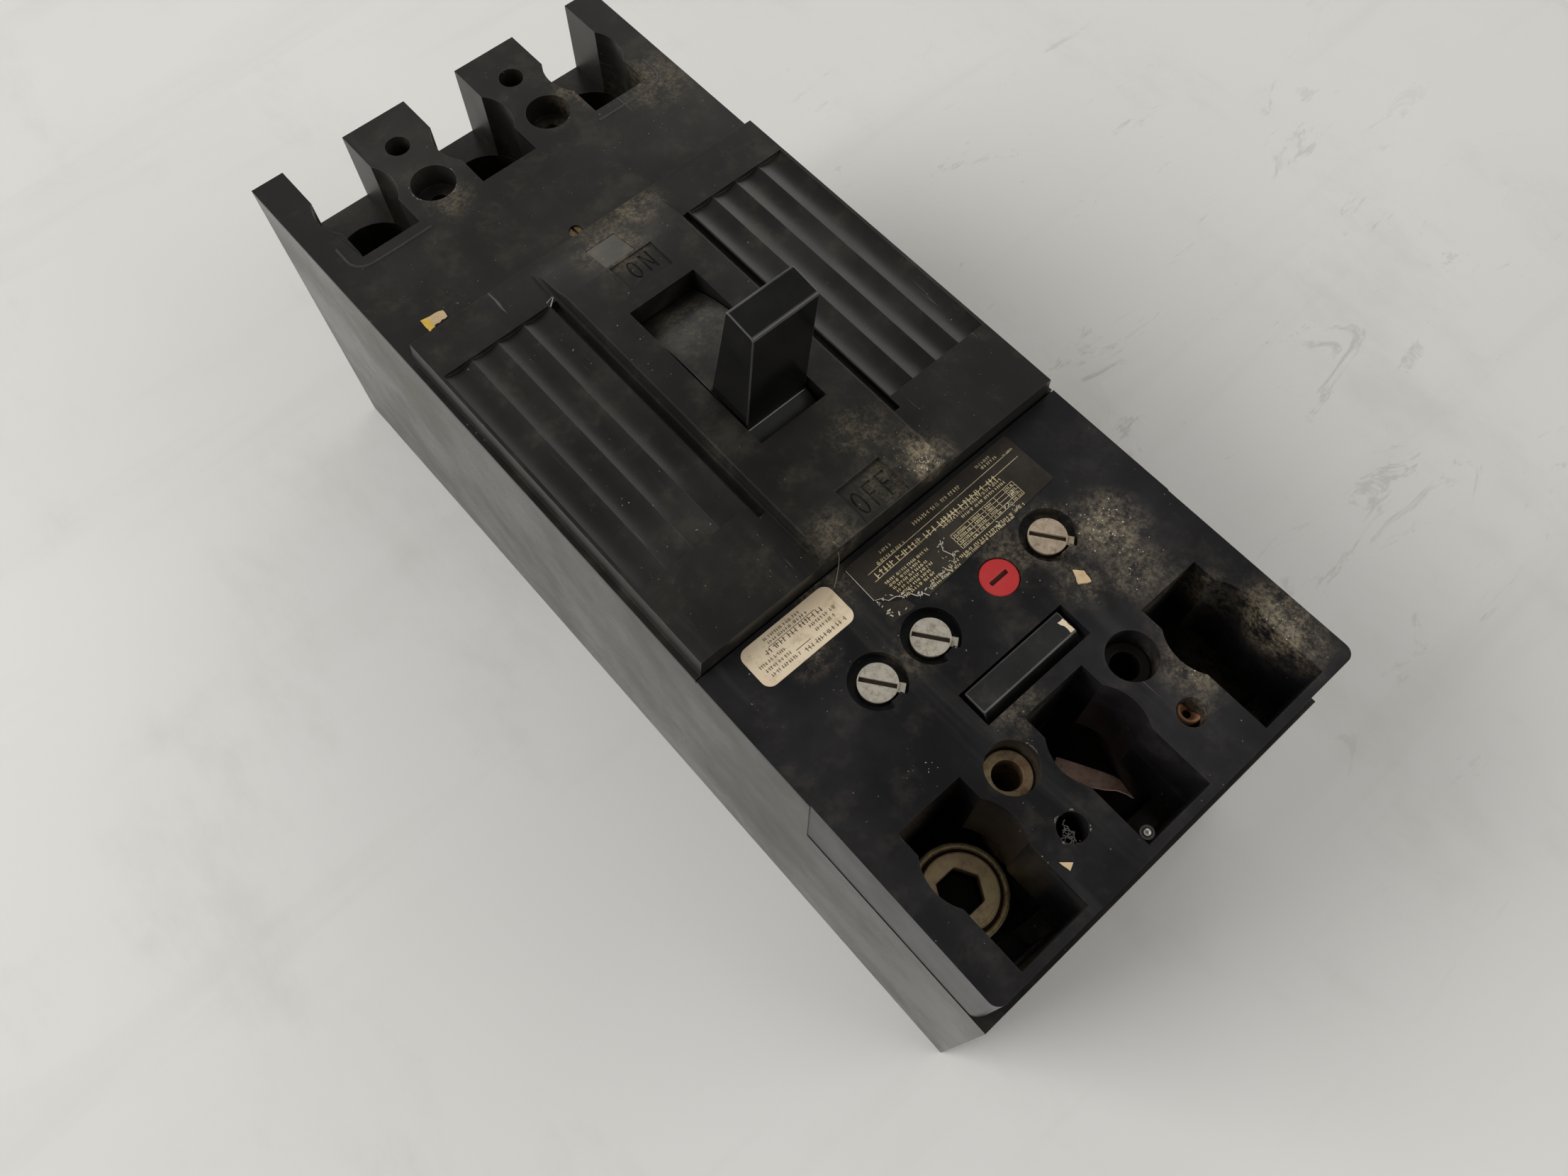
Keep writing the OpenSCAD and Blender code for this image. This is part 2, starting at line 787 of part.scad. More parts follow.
module lug_mounting_screw() {
    x = -pole_pitch;
    color("#b9b9b4") difference() {
        rod_z(strap_z - 6, strap_z + strap_t + 1.3, [x, load_screw_y], strap_screw_r);
        span([x - 3, x + 3], [load_screw_y - 0.5, load_screw_y + 0.5],
            [strap_z + strap_t + 0.3, strap_z + 6]);
    }
}

module trip_button() {
    color("#b8252f") difference() {
        union() {
            rod_z(94, 97.3, button_xy, button_r);
            rod_z(74.6, 94 + eps, button_xy, 2);
        }
        translate([button_xy[0], button_xy[1], 97.3]) cube([5, 1, 1.4], center = true);
    }
}

module trip_button_spring() {
    color("#c9c9c4") translate([button_xy[0], button_xy[1], 0])
        spring_z(button_seat + 0.05, 93.95, 3.8, 0.7, 6);
}

// Adjustment dial with a screwdriver slot and a pointer tab
module dial(at) {
    color("#c6c5c0") difference() {
        union() {
            rod_z(94.7, 96.8, at, dial_r);
            rod_z(86, 94.8, at, 2.4);
            translate([at[0], at[1], 94.7]) rotate([0, 0, dial_pointer])
                translate([dial_r - 1, -1.1, 0]) cube([2.4, 2.2, 1.8]);
        }
        translate([at[0], at[1], 96.8]) rotate([0, 0, dial_pointer])
            cube([8, 1.1, 1.6], center = true);
    }
}

module rating_insert() {
    color("#2c2d30") plate_x(-13.6, 13.6)
        polygon([[insert_y0 + 0.4, 93.2], [insert_y1 - 0.4, 93.2],
            [insert_y1 - 0.5, 96.9], [insert_y0 + 2.4, 96.9]]);
}

// Foil plate, cut back where the dial recess begins
module nameplate() {
    color("#3a3632") translate([0, 0, unit_top]) linear_extrude(0.2)
        polygon([[-13.3, -42.9], [-14, -58.6], [-4.5, -59.2], [35.9, -57], [35.6, -42.3]]);
}

module side_label() {
    r = 2.2;
    color("#c8b998") translate([-30.6, -47.6, unit_top]) linear_extrude(0.2) {
        square([24.6 - 2 * r, 10.2], center = true);
        square([24.6, 10.2 - 2 * r], center = true);
        for (sx = [-1, 1], sy = [-1, 1])
            translate([sx * (12.3 - r), sy * (5.1 - r)]) circle(r);
    }
}

module calibration_screw() {
    color("#9a8550") difference() {
        rod_z(94, 96.8, calibration_at, 1.8);
        translate([calibration_at[0], calibration_at[1], 96.8])
            cube([0.6, 5, 1.2], center = true);
    }
}

module position_window() {
    color("#8d8a7c") on_window_slope(-0.8, -0.15);
}

// Flanged sleeves in the two counterbores at the load end
module cover_bushings() {
    hole_r = 3.2;
    flange_r = 5.4;
    color("#a5824d") for (side = [-1, 1], at = [[side * cover_screw_x, cover_screw_load_y]])
        difference() {
            union() {
                rod_z(load_rim + 4, counterbore_floor + eps, at, bushing_r);
                rod_z(counterbore_floor, counterbore_floor + 1, at, flange_r);
            }
            rod_z(load_rim, unit_top, at, hole_r);
        }
}

module strap_screws() {
    color("#b9b9b4") {
        for (x = poles) strap_screw([x, line_screw_y]);
        for (x = [0, pole_pitch]) strap_screw([x, load_screw_y]);
    }
}

// One cheese head screw with a driver slot
module strap_screw(at) {
    head_t = 2.6;
    difference() {
        union() {
            rod_z(strap_z - 6, strap_z + strap_t, at, strap_screw_r);
            rod_z(strap_z + strap_t, strap_z + strap_t + head_t, at, 4.4);
        }
        translate([at[0], at[1], strap_z + strap_t + head_t])
            cube([9, 1.2, 2.4], center = true);
    }
}

base();
main_cover();
trip_unit_cover();
operating_handle();
handle_yoke();
handle_shield();
mechanism_side_plates();
frame_cross_pins();
cradle();
latch_lever();
upper_links();
lower_links();
toggle_pin();
operating_springs();
crossbar();
contact_arm(poles[0]);  // contact_arm_left
contact_arm(poles[1]);  // contact_arm_centre
contact_arm(poles[2]);  // contact_arm_right
moving_contacts();
fixed_contacts();
line_strap(poles[0]);  // line_strap_left
line_strap(poles[1]);  // line_strap_centre
line_strap(poles[2]);  // line_strap_right
arc_chute(poles[0]);  // arc_chute_left
arc_chute(poles[1]);  // arc_chute_centre
arc_chute(poles[2]);  // arc_chute_right
braid(poles[0]);  // braid_left
braid(poles[1]);  // braid_centre
braid(poles[2]);  // braid_right
heater_strap(poles[0]);  // heater_strap_left
heater_strap(poles[1]);  // heater_strap_centre
heater_strap(poles[2]);  // heater_strap_right
bimetal(poles[0]);  // bimetal_left
bimetal(poles[1]);  // bimetal_centre
bimetal(poles[2]);  // bimetal_right
magnet_yoke(poles[0]);  // magnet_yoke_left
magnet_yoke(poles[1]);  // magnet_yoke_centre
magnet_yoke(poles[2]);  // magnet_yoke_right
armature(poles[0]);  // armature_left
armature(poles[1]);  // armature_centre
armature(poles[2]);  // armature_right
load_strap(poles[0]);  // load_strap_left
load_strap(poles[1]);  // load_strap_centre
load_strap(poles[2]);  // load_strap_right
trip_bar();
load_lug();
lug_screw();
lug_mounting_screw();
trip_button();
trip_button_spring();
dial(dial_xy[0]);  // dial_left
dial(dial_xy[1]);  // dial_centre
dial(dial_xy[2]);  // dial_right
rating_insert();
nameplate();
side_label();
calibration_screw();
position_window();
cover_bushings();
strap_screws();
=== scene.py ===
import json
import math
import random

import bmesh
import bpy
from mathutils import Matrix, Vector
from mathutils.bvhtree import BVHTree


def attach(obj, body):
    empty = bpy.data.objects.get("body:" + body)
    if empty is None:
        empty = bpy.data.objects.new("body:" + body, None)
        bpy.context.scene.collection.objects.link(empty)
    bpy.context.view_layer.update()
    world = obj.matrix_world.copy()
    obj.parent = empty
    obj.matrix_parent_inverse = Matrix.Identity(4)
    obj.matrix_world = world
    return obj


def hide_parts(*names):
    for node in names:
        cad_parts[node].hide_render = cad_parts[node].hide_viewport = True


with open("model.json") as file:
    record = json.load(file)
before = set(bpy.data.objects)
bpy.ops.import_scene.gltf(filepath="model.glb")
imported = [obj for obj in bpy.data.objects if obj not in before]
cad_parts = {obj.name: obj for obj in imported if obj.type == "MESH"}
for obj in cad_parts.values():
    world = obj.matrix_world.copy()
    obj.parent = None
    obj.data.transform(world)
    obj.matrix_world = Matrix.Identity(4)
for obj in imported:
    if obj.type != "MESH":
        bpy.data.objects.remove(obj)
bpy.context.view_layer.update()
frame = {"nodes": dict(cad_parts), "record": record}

MM = 0.001

# Heights of the housing's upper faces, in millimetres
UNIT_TOP = 97.5
COVER_TOP = 97.2
DECK_TOP = 103.2
PAD_TOP = 106.0

# Counterbores of the left cover screws, and the small hole at the load end
LOAD_COUNTERBORE = (-17.6, -96.1)
LINE_COUNTERBORE = (-17.6, 101.3)
LOAD_HOLE = (-17.5, -112)
COUNTERBORE_R = 5.75
LOAD_HOLE_R = 3.3

NODE_BODY = {}
for body_name, node_names in frame["record"]["behaviour"]["bodies"].items():
    for node_name in node_names:
        NODE_BODY[node_name] = body_name


# ---------------------------------------------------------------- camera

def make_camera():
    """A camera held by hand above the load end, looking down across the breaker."""
    cam = bpy.data.cameras.new("camera")
    cam.sensor_width = 36.0
    cam.lens = 27.37
    cam.clip_start = 0.01
    obj = bpy.data.objects.new("camera", cam)
    bpy.context.scene.collection.objects.link(obj)
    right = Vector((0.747926, -0.663773, 0.003352))
    up = Vector((0.605207, 0.683992, 0.407284))
    back = Vector((-0.272637, -0.302590, 0.913295))
    turn = Matrix((right, up, back)).transposed().to_4x4()
    turn.translation = Vector((-0.09339, -0.11300, 0.32481))
    obj.matrix_world = turn
    bpy.context.scene.camera = obj


make_camera()


# ---------------------------------------------------------------- materials

class Nodes:
    """Short calls for building one node material."""

    def __init__(self, name):
        self.mat = bpy.data.materials.new(name)
        self.mat.use_nodes = True
        self.nt = self.mat.node_tree
        self.nt.nodes.clear()
        self.out = self.nt.nodes.new("ShaderNodeOutputMaterial")
        self.bsdf = self.nt.nodes.new("ShaderNodeBsdfPrincipled")
        self.nt.links.new(self.bsdf.outputs[0], self.out.inputs[0])
        self.coord = self.nt.nodes.new("ShaderNodeTexCoord").outputs["Object"]

    def put(self, socket, value):
        if hasattr(value, "node"):
            self.nt.links.new(value, socket)
        else:
            socket.default_value = value

    def noise(self, scale, detail=3.0, rough=0.6, stretch=None, distortion=0.0):
        n = self.nt.nodes.new("ShaderNodeTexNoise")
        n.inputs["Scale"].default_value = scale
        n.inputs["Detail"].default_value = detail
        n.inputs["Roughness"].default_value = rough
        n.inputs["Distortion"].default_value = distortion
        vec = self.coord
        if stretch:
            m = self.nt.nodes.new("ShaderNodeMapping")
            m.inputs["Scale"].default_value = stretch
            self.nt.links.new(self.coord, m.inputs["Vector"])
            vec = m.outputs[0]
        self.nt.links.new(vec, n.inputs["Vector"])
        return n.outputs["Fac"]

    def ramp(self, value, lo, hi, out_lo=0.0, out_hi=1.0):
        n = self.nt.nodes.new("ShaderNodeMapRange")
        n.clamp = True
        n.interpolation_type = "SMOOTHSTEP"
        self.put(n.inputs["Value"], value)
        n.inputs["From Min"].default_value = lo
        n.inputs["From Max"].default_value = hi
        n.inputs["To Min"].default_value = out_lo
        n.inputs["To Max"].default_value = out_hi
        return n.outputs["Result"]

    def math(self, op, a, b=0.0):
        n = self.nt.nodes.new("ShaderNodeMath")
        n.operation = op
        self.put(n.inputs[0], a)
        self.put(n.inputs[1], b)
        return n.outputs[0]

    def near(self, centre, radius, scale=(1, 1, 1)):
        """1 close to a point in millimetres, falling to 0 at the radius."""
        m = self.nt.nodes.new("ShaderNodeMapping")
        m.inputs["Scale"].default_value = scale
        self.nt.links.new(self.coord, m.inputs["Vector"])
        d = self.nt.nodes.new("ShaderNodeVectorMath")
        d.operation = "DISTANCE"
        self.nt.links.new(m.outputs[0], d.inputs[0])
        d.inputs[1].default_value = [c * MM * s for c, s in zip(centre, scale)]
        return self.ramp(d.outputs["Value"], radius * MM, radius * MM * 0.15)

    def below(self, z0, z1):
        """1 below z0 millimetres, falling to 0 at z1."""
        sep = self.nt.nodes.new("ShaderNodeSeparateXYZ")
        self.nt.links.new(self.coord, sep.inputs[0])
        return self.ramp(sep.outputs[2], z1 * MM, z0 * MM)

    def mix(self, fac, a, b):
        n = self.nt.nodes.new("ShaderNodeMix")
        n.data_type = "RGBA"
        self.put(n.inputs[0], fac)
        self.put(n.inputs[6], a if hasattr(a, "node") else (*a, 1.0))
        self.put(n.inputs[7], b if hasattr(b, "node") else (*b, 1.0))
        return n.outputs[2]

    def bump(self, height, strength, distance):
        n = self.nt.nodes.new("ShaderNodeBump")
        n.inputs["Strength"].default_value = strength
        n.inputs["Distance"].default_value = distance
        self.put(n.inputs["Height"], height)
        self.nt.links.new(n.outputs[0], self.bsdf.inputs["Normal"])

    def finish(self, colour, rough, metallic=0.0, specular=0.5):
        self.put(self.bsdf.inputs["Base Color"], colour)
        self.put(self.bsdf.inputs["Roughness"], rough)
        self.bsdf.inputs["Metallic"].default_value = metallic
        self.bsdf.inputs["Specular IOR Level"].default_value = specular
        return self.mat


def phenolic(name, base, light, rough=0.42, patches=(), dust_all=0.12, scratches=0.25, specular=0.5,
             shade_below=None, relief=0.25, specks=0.5):
    """Worn molded plastic with handling haze, scratches, white specks and dust in given places; one place on
    the base is also painted sheen.

    A patch is a centre in millimetres, a radius, an amount and a scale along each axis. Below two
    given heights the plastic takes a given colour, as painted shade in recesses.
    """
    streak_colour = (0.1, 0.098, 0.09)
    scratch_colour = (0.16, 0.157, 0.147)
    speck_colour = (0.36, 0.34, 0.3)
    dust_and_sheen_colour = (0.25, 0.205, 0.135)
    along_y = (1.0, 0.12, 1.0)
    thin_along_y = (1.0, 0.05, 1.0)
    n = Nodes(name)
    haze = n.noise(28.0, 5.0, 0.62)
    fine = n.noise(900.0, 2.0, 0.5)
    colour = n.mix(n.ramp(haze, 0.38, 0.7), base, light)
    streak = n.noise(60.0, 4.0, 0.7, along_y, 0.6)
    colour = n.mix(n.math("MULTIPLY", n.ramp(streak, 0.56, 0.78), scratches), colour, streak_colour)
    scratch = n.ramp(n.noise(420.0, 2.0, 0.5, thin_along_y, 1.5), 0.735, 0.775)
    colour = n.mix(n.math("MULTIPLY", scratch, min(0.45, scratches * 3)), colour, scratch_colour)
    speck = n.noise(1300.0, 1.0, 0.4)
    where = n.ramp(n.noise(40.0, 2.0), 0.45, 0.62)
    speck = n.math("MULTIPLY", n.ramp(speck, 0.775, 0.81), where)
    colour = n.mix(n.math("MULTIPLY", speck, specks), colour, speck_colour)
    dusty = n.math("MULTIPLY", n.ramp(n.noise(110.0, 5.0, 0.72), 0.5, 0.72), dust_all)
    for centre, radius, amount, scale in patches:
        cloud = n.ramp(n.noise(240.0, 6.0, 0.78), 0.36, 0.62)
        grain = n.ramp(n.noise(1100.0, 4.0, 0.8), 0.4, 0.58, 0.35, 1.25)
        spot = n.math("MULTIPLY", n.near(centre, radius, scale), n.math("MULTIPLY", cloud, grain))
        dusty = n.math("MAXIMUM", dusty, n.math("MULTIPLY", spot, amount))
    # Patches take the dust colour; the base's patch on its left side is also painted sheen.
    colour = n.mix(dusty, colour, dust_and_sheen_colour)
    if shade_below:
        # Painted shade: darker below the given heights, where recesses lie in shade.
        colour = n.mix(n.below(shade_below[0], shade_below[1]), colour, shade_below[2])
    haze_rough = n.ramp(haze, 0.3, 0.75, rough - 0.06, rough + 0.1)
    dusty_rough = n.math("ADD", haze_rough, n.math("MULTIPLY", dusty, 0.45))
    height = n.math("ADD", n.math("MULTIPLY", fine, 0.35), n.math("MULTIPLY", n.noise(160.0, 3.0), 0.65))
    n.bump(height, relief, 0.00012)
    return n.finish(colour, dusty_rough, 0.0, specular)


def metal(name, base, tint, rough=0.3, dirt=0.3, dirt_colour=(0.12, 0.09, 0.06), scale=180.0,
          metallic=1.0, shade_below=None, soot=None):
    """Plated or bare metal with brushed grain, stains and dirt.

    Below two given heights the metal takes a given colour, as painted shade in recesses. soot is a centre and
    a radius in millimetres, and the metal is nearly black there.
    """
    soot_colour = (0.02, 0.017, 0.013)
    n = Nodes(name)
    stain = n.noise(scale, 5.0, 0.7)
    grain = n.noise(2600.0, 2.0, 0.6, (1.0, 0.08, 1.0))
    colour = n.mix(n.ramp(stain, 0.4, 0.65), base, tint)
    grime = n.math("MULTIPLY", n.ramp(n.noise(scale * 2.3, 5.0, 0.75), 0.48, 0.68), dirt)
    colour = n.mix(grime, colour, dirt_colour)
    if shade_below:
        # Painted shade: the given colour below the given heights, where recesses lie in shade.
        low_z, high_z, black = shade_below
        low = n.below(low_z, high_z)
        colour = n.mix(low, colour, black)
        grime = n.math("MAXIMUM", grime, n.math("MULTIPLY", low, 0.6))
    if soot:
        colour = n.mix(n.near(*soot), colour, soot_colour)
    brushed = n.ramp(grain, 0.2, 0.8, rough - 0.06, rough + 0.12)
    n.bump(n.math("ADD", n.math("MULTIPLY", grain, 0.4), n.math("MULTIPLY", stain, 0.6)), 0.2, 0.00008)
    return n.finish(colour, n.math("ADD", brushed, n.math("MULTIPLY", grime, 0.5)), metallic, 0.5)


def paper(name, base, light, dirt_colour, dirt=0.35, rough=0.45, metallic=0.0):
    """Printed foil or paper with fading and grime."""
    n = Nodes(name)
    fade = n.noise(70.0, 5.0, 0.65)
    colour = n.mix(n.ramp(fade, 0.38, 0.66), base, light)
    grime = n.math("MULTIPLY", n.ramp(n.noise(320.0, 5.0, 0.75), 0.5, 0.7), dirt)
    colour = n.mix(grime, colour, dirt_colour)
    n.bump(n.noise(420.0, 3.0), 0.2, 0.00006)
    return n.finish(colour, n.ramp(fade, 0.3, 0.7, rough, rough + 0.15), metallic)


# Dust patches, one on the base's left side also painted sheen: centre in millimetres, radius, amount, scale
# along each axis
ONE = (1, 1, 1)
COVER_DIRT = [
    ((16, -37, PAD_TOP), 9, 0.85, ONE), ((13, -39, PAD_TOP), 5, 0.9, ONE),
    ((9, -24, PAD_TOP), 11, 0.22, ONE), ((-12, -38, 104), 9, 0.3, ONE),
    ((0, 52, 105), 13, 0.4, ONE), ((9, 57, 104), 10, 0.35, (0.7, 1, 1)),
    ((-17.6, 95, 96), 9, 0.3, ONE), ((17.4, 99, 92), 8, 0.75, ONE), ((-17.4, 99, 91), 7, 0.4, ONE),
    ((35, 108, 78), 15, 0.7, ONE), ((-35, 112, 78), 13, 0.5, ONE), ((30, 104, 97), 12, 0.45, ONE),
    ((0, 108, 78), 12, 0.45, ONE), ((45, 92, 97), 14, 0.35, ONE), ((4, -36, 105.3), 8, 0.25, ONE),
]
UNIT_DIRT = [
    ((36, -73, UNIT_TOP), 12, 0.6, ONE), ((25, -66, UNIT_TOP), 10, 0.55, ONE),
    ((22, -78, UNIT_TOP), 8, 0.35, ONE), ((15, -63, UNIT_TOP), 9, 0.3, ONE),
    ((33, -83, UNIT_TOP), 11, 0.35, ONE), ((-17, -66, UNIT_TOP), 8, 0.2, ONE),
    ((-17.6, -96, 92), 8, 0.75, ONE), ((20.1, -111.6, 92), 8, 0.8, ONE), ((35, -97, 90), 16, 0.5, ONE),
    ((44, -112, UNIT_TOP), 15, 0.6, ONE), ((26, -106, UNIT_TOP), 11, 0.45, ONE),
    ((-8, -88, UNIT_TOP), 9, 0.3, ONE), ((0, -93, 90), 9, 0.35, ONE),
    ((-20, -43, UNIT_TOP), 10, 0.35, ONE), ((-31, -54, UNIT_TOP), 8, 0.25, (1, 1.6, 1)),
]
BASE_DUST_AND_SHEEN = [
    ((35, 105, 77), 17, 0.7, ONE), ((-35, 110, 77), 14, 0.5, ONE), ((0, 108, 77), 13, 0.45, ONE),
    ((35, -105, 60), 19, 0.7, ONE), ((0, -100, 50), 15, 0.15, ONE), ((-52.5, -93.8, 27), 1.5, 0.9, ONE),
    # The long patch on the left side's rear is partly dust and partly painted sheen for the glare on that
    # side.
    ((-52.5, 70, 78), 46, 0.2, (1, 0.5, 2)), ((50, -126, 60), 16, 0.4, ONE),
]

M = {}
M["base"] = phenolic("base_phenolic", (0.0095, 0.0088, 0.0072), (0.019, 0.0178, 0.015), 0.28,
                     BASE_DUST_AND_SHEEN, 0.06, 0.14)
M["cover"] = phenolic("cover_phenolic", (0.0088, 0.0084, 0.0072), (0.0172, 0.0164, 0.0144), 0.38,
                      COVER_DIRT, 0.06, 0.14, 0.42)
M["unit"] = phenolic("unit_phenolic", (0.005, 0.0045, 0.0054), (0.0125, 0.0115, 0.0132), 0.34,
                     UNIT_DIRT, 0.05, 0.16)
# Lighter colour for the rounded housing edges: partly wear, partly a painted highlight along them.
M["edge"] = phenolic("worn_edge_and_highlight", (0.021, 0.02, 0.0185), (0.042, 0.04, 0.036), 0.32, (), 0.12, 0.3)
M["handle"] = phenolic("handle_gloss", (0.005, 0.005, 0.0051), (0.009, 0.009, 0.0088), 0.15,
                       [((0, 2, 105), 8, 0.1, ONE)], 0.01, 0.02, relief=0.03, specks=0.04)
# The grip's rounded edges are lighter than its glossy black faces: partly rubbed, partly painted highlight.
M["handle_edge"] = phenolic("handle_rubbed_and_highlit", (0.016, 0.016, 0.016), (0.075, 0.075, 0.073), 0.16,
                            (), 0.03, 0.3, relief=0.1)
# Painted highlight: bright colour for the line at the grip's foot.
M["glint"] = phenolic("painted_highlight_line", (0.3, 0.3, 0.29), (0.5, 0.5, 0.48), 0.2, (), 0.03, 0.2)
M["shield"] = phenolic("shield_phenolic", (0.011, 0.011, 0.0105), (0.023, 0.023, 0.021), 0.34,
                       [((0, 22, 104), 16, 0.16, ONE), ((0, 4, 105), 8, 0.3, ONE)], 0.1, 0.15)
M["insert"] = phenolic("insert_phenolic", (0.012, 0.0125, 0.0125), (0.021, 0.0215, 0.0215), 0.33,
                       (), 0.06, 0.15)
M["insert_edge"] = phenolic("insert_worn_edge", (0.05, 0.05, 0.047), (0.13, 0.13, 0.12), 0.45, (), 0.2, 0.4)
M["bar"] = phenolic("brown_molding", (0.1, 0.05, 0.025), (0.15, 0.08, 0.045), 0.4, (), 0.1, 0.2)
# The red button is darker low in its slot: painted shade.
M["button"] = phenolic("red_button", (0.41, 0.028, 0.029), (0.49, 0.042, 0.043), 0.4, (), 0.05, 0.08, 0.35,
                       (96.7, 97.0, (0.05, 0.006, 0.005)))
M["steel"] = metal("plated_steel", (0.5, 0.49, 0.46), (0.38, 0.36, 0.33), 0.32, 0.35)
M["dark_steel"] = metal("dark_steel", (0.22, 0.22, 0.22), (0.15, 0.145, 0.14), 0.42, 0.4)
M["copper"] = metal("dull_copper", (0.42, 0.2, 0.11), (0.24, 0.12, 0.065), 0.42, 0.5)
# The straps are near black low in their pockets: painted shade.
M["strap"] = metal("stained_strap", (0.3, 0.15, 0.09), (0.16, 0.08, 0.045), 0.45,
                   0.6, (0.03, 0.02, 0.012), 200.0, 0.7, (60, 72, (0.016, 0.012, 0.009)))
# The copper tail is darker at its lowest: painted shade.
M["tail"] = metal("copper_tail", (0.85, 0.56, 0.45), (0.62, 0.38, 0.28), 0.5,
                  0.35, (0.16, 0.1, 0.07), 200.0, 0.25, (50, 55, (0.03, 0.019, 0.013)))
M["brass"] = metal("dull_brass", (0.36, 0.26, 0.14), (0.2, 0.14, 0.07), 0.45, 0.55)
M["bushing"] = metal("bushing_brass", (0.46, 0.35, 0.2), (0.3, 0.17, 0.1), 0.45,
                     0.5, (0.1, 0.07, 0.035), 220.0, 0.6, soot=((17.6, -96.1, 90), 30))
M["silver"] = metal("silver_alloy", (0.7, 0.68, 0.63), (0.5, 0.47, 0.41), 0.35, 0.25)
# Both dial plates are darker on their sides and in their slots: painted shade.
M["dial"] = metal("dial_plate", (0.47, 0.44, 0.37), (0.36, 0.33, 0.27), 0.5,
                  0.55, (0.13, 0.1, 0.06), 420.0, 0.35, (96.1, 96.42, (0.035, 0.026, 0.016)))
M["dial_dirty"] = metal("dial_plate_dusty", (0.42, 0.34, 0.25), (0.3, 0.24, 0.17), 0.55,
                        0.5, (0.1, 0.07, 0.04), 420.0, 0.25, (96.1, 96.42, (0.035, 0.024, 0.014)))
# The lug and its screw face are darker down in the well: painted shade.
M["lug"] = metal("zinc_lug", (0.5, 0.41, 0.24), (0.26, 0.2, 0.11), 0.4, 0.6, (0.03, 0.022, 0.012), 240.0, 0.8,
                 (55, 62.5, (0.012, 0.009, 0.006)))
M["lug_face"] = metal("lug_screw_face", (0.97, 0.77, 0.39), (0.86, 0.53, 0.38), 0.42,
                      0.38, (0.26, 0.16, 0.07), 130.0, 0.15, (62.0, 64.4, (0.008, 0.006, 0.004)))
M["plate"] = paper("nameplate_foil", (0.022, 0.018, 0.0135), (0.034, 0.028, 0.021),
                   (0.1, 0.08, 0.05), 0.12, 0.32, 0.2)
M["print"] = paper("nameplate_print", (0.48, 0.39, 0.22), (0.6, 0.5, 0.3), (0.05, 0.042, 0.03), 0.7, 0.42)
M["flake"] = paper("torn_edge", (0.5, 0.47, 0.4), (0.34, 0.31, 0.25), (0.08, 0.07, 0.05), 0.6, 0.6)
M["label"] = paper("cream_label", (0.69, 0.56, 0.395), (0.76, 0.64, 0.465), (0.32, 0.23, 0.13), 0.4, 0.4, 0.1)
M["label_print"] = paper("label_print", (0.045, 0.033, 0.022), (0.07, 0.052, 0.036),
                         (0.26, 0.2, 0.13), 0.35, 0.5)
M["window"] = phenolic("window_plastic", (0.05, 0.047, 0.038), (0.085, 0.08, 0.066), 0.42, (), 0.4, 0.3)
M["chip"] = paper("cream_chip", (0.5, 0.36, 0.2), (0.6, 0.47, 0.3), (0.25, 0.16, 0.07), 0.3, 0.6)
M["sticker"] = paper("yellow_scrap", (0.62, 0.4, 0.05), (0.6, 0.47, 0.2), (0.25, 0.16, 0.05), 0.3, 0.5)
M["scratch"] = paper("white_scratch", (0.42, 0.41, 0.38), (0.25, 0.245, 0.225), (0.08, 0.08, 0.07), 0.6, 0.6)
M["fibre"] = paper("pale_fibre", (0.3, 0.27, 0.21), (0.36, 0.32, 0.25), (0.1, 0.08, 0.05), 0.3, 0.7)
M["lug_rim"] = metal("lug_rim", (0.8, 0.63, 0.33), (0.5, 0.37, 0.18), 0.38,
                     0.5, (0.07, 0.05, 0.028), 260.0, 0.4)
M["eyelet"] = phenolic("orange_eyelet", (0.5, 0.2, 0.09), (0.68, 0.36, 0.2), 0.5, (), 0.3, 0.3)
M["fluff"] = paper("grey_fluff", (0.8, 0.79, 0.75), (0.5, 0.49, 0.46), (0.16, 0.15, 0.13), 0.4, 0.8)
M["rim_chip"] = paper("rim_chip", (0.2, 0.195, 0.175), (0.11, 0.105, 0.095), (0.05, 0.048, 0.042), 0.6, 0.6)
M["grit"] = paper("dust_grit", (0.34, 0.28, 0.18), (0.46, 0.4, 0.29), (0.14, 0.1, 0.05), 0.5, 0.8)


# ---------------------------------------------------------------- meshes

def link(name, mesh, mats, body, smooth=35):
    """Puts a mesh in the scene, riding on a body."""
    obj = bpy.data.objects.new(name, mesh)
    bpy.context.scene.collection.objects.link(obj)
    for m in mats:
        mesh.materials.append(m)
    if smooth:
        mesh.polygons.foreach_set("use_smooth", [True] * len(mesh.polygons))
        mesh.set_sharp_from_angle(angle=math.radians(smooth))
    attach(obj, body)
    return obj


def welded(node):
    """A bmesh of a node's solid with its seams joined and its flat faces merged."""
    bm = bmesh.new()
    bm.from_mesh(frame["nodes"][node].data)
    bmesh.ops.transform(bm, matrix=frame["nodes"][node].matrix_world, verts=bm.verts)
    bmesh.ops.remove_doubles(bm, verts=bm.verts, dist=2e-6)
    bmesh.ops.dissolve_limit(bm, angle_limit=math.radians(0.6), verts=bm.verts, edges=bm.edges)
    bmesh.ops.connect_verts_concave(bm, faces=[f for f in bm.faces if len(f.verts) > 4])
    return bm


def tree_of(node):
    """A search tree of a node's faces, to find where its surface lies."""
    bm = welded(node)
    tree = BVHTree.FromBMesh(bm)
    bm.free()
    return tree


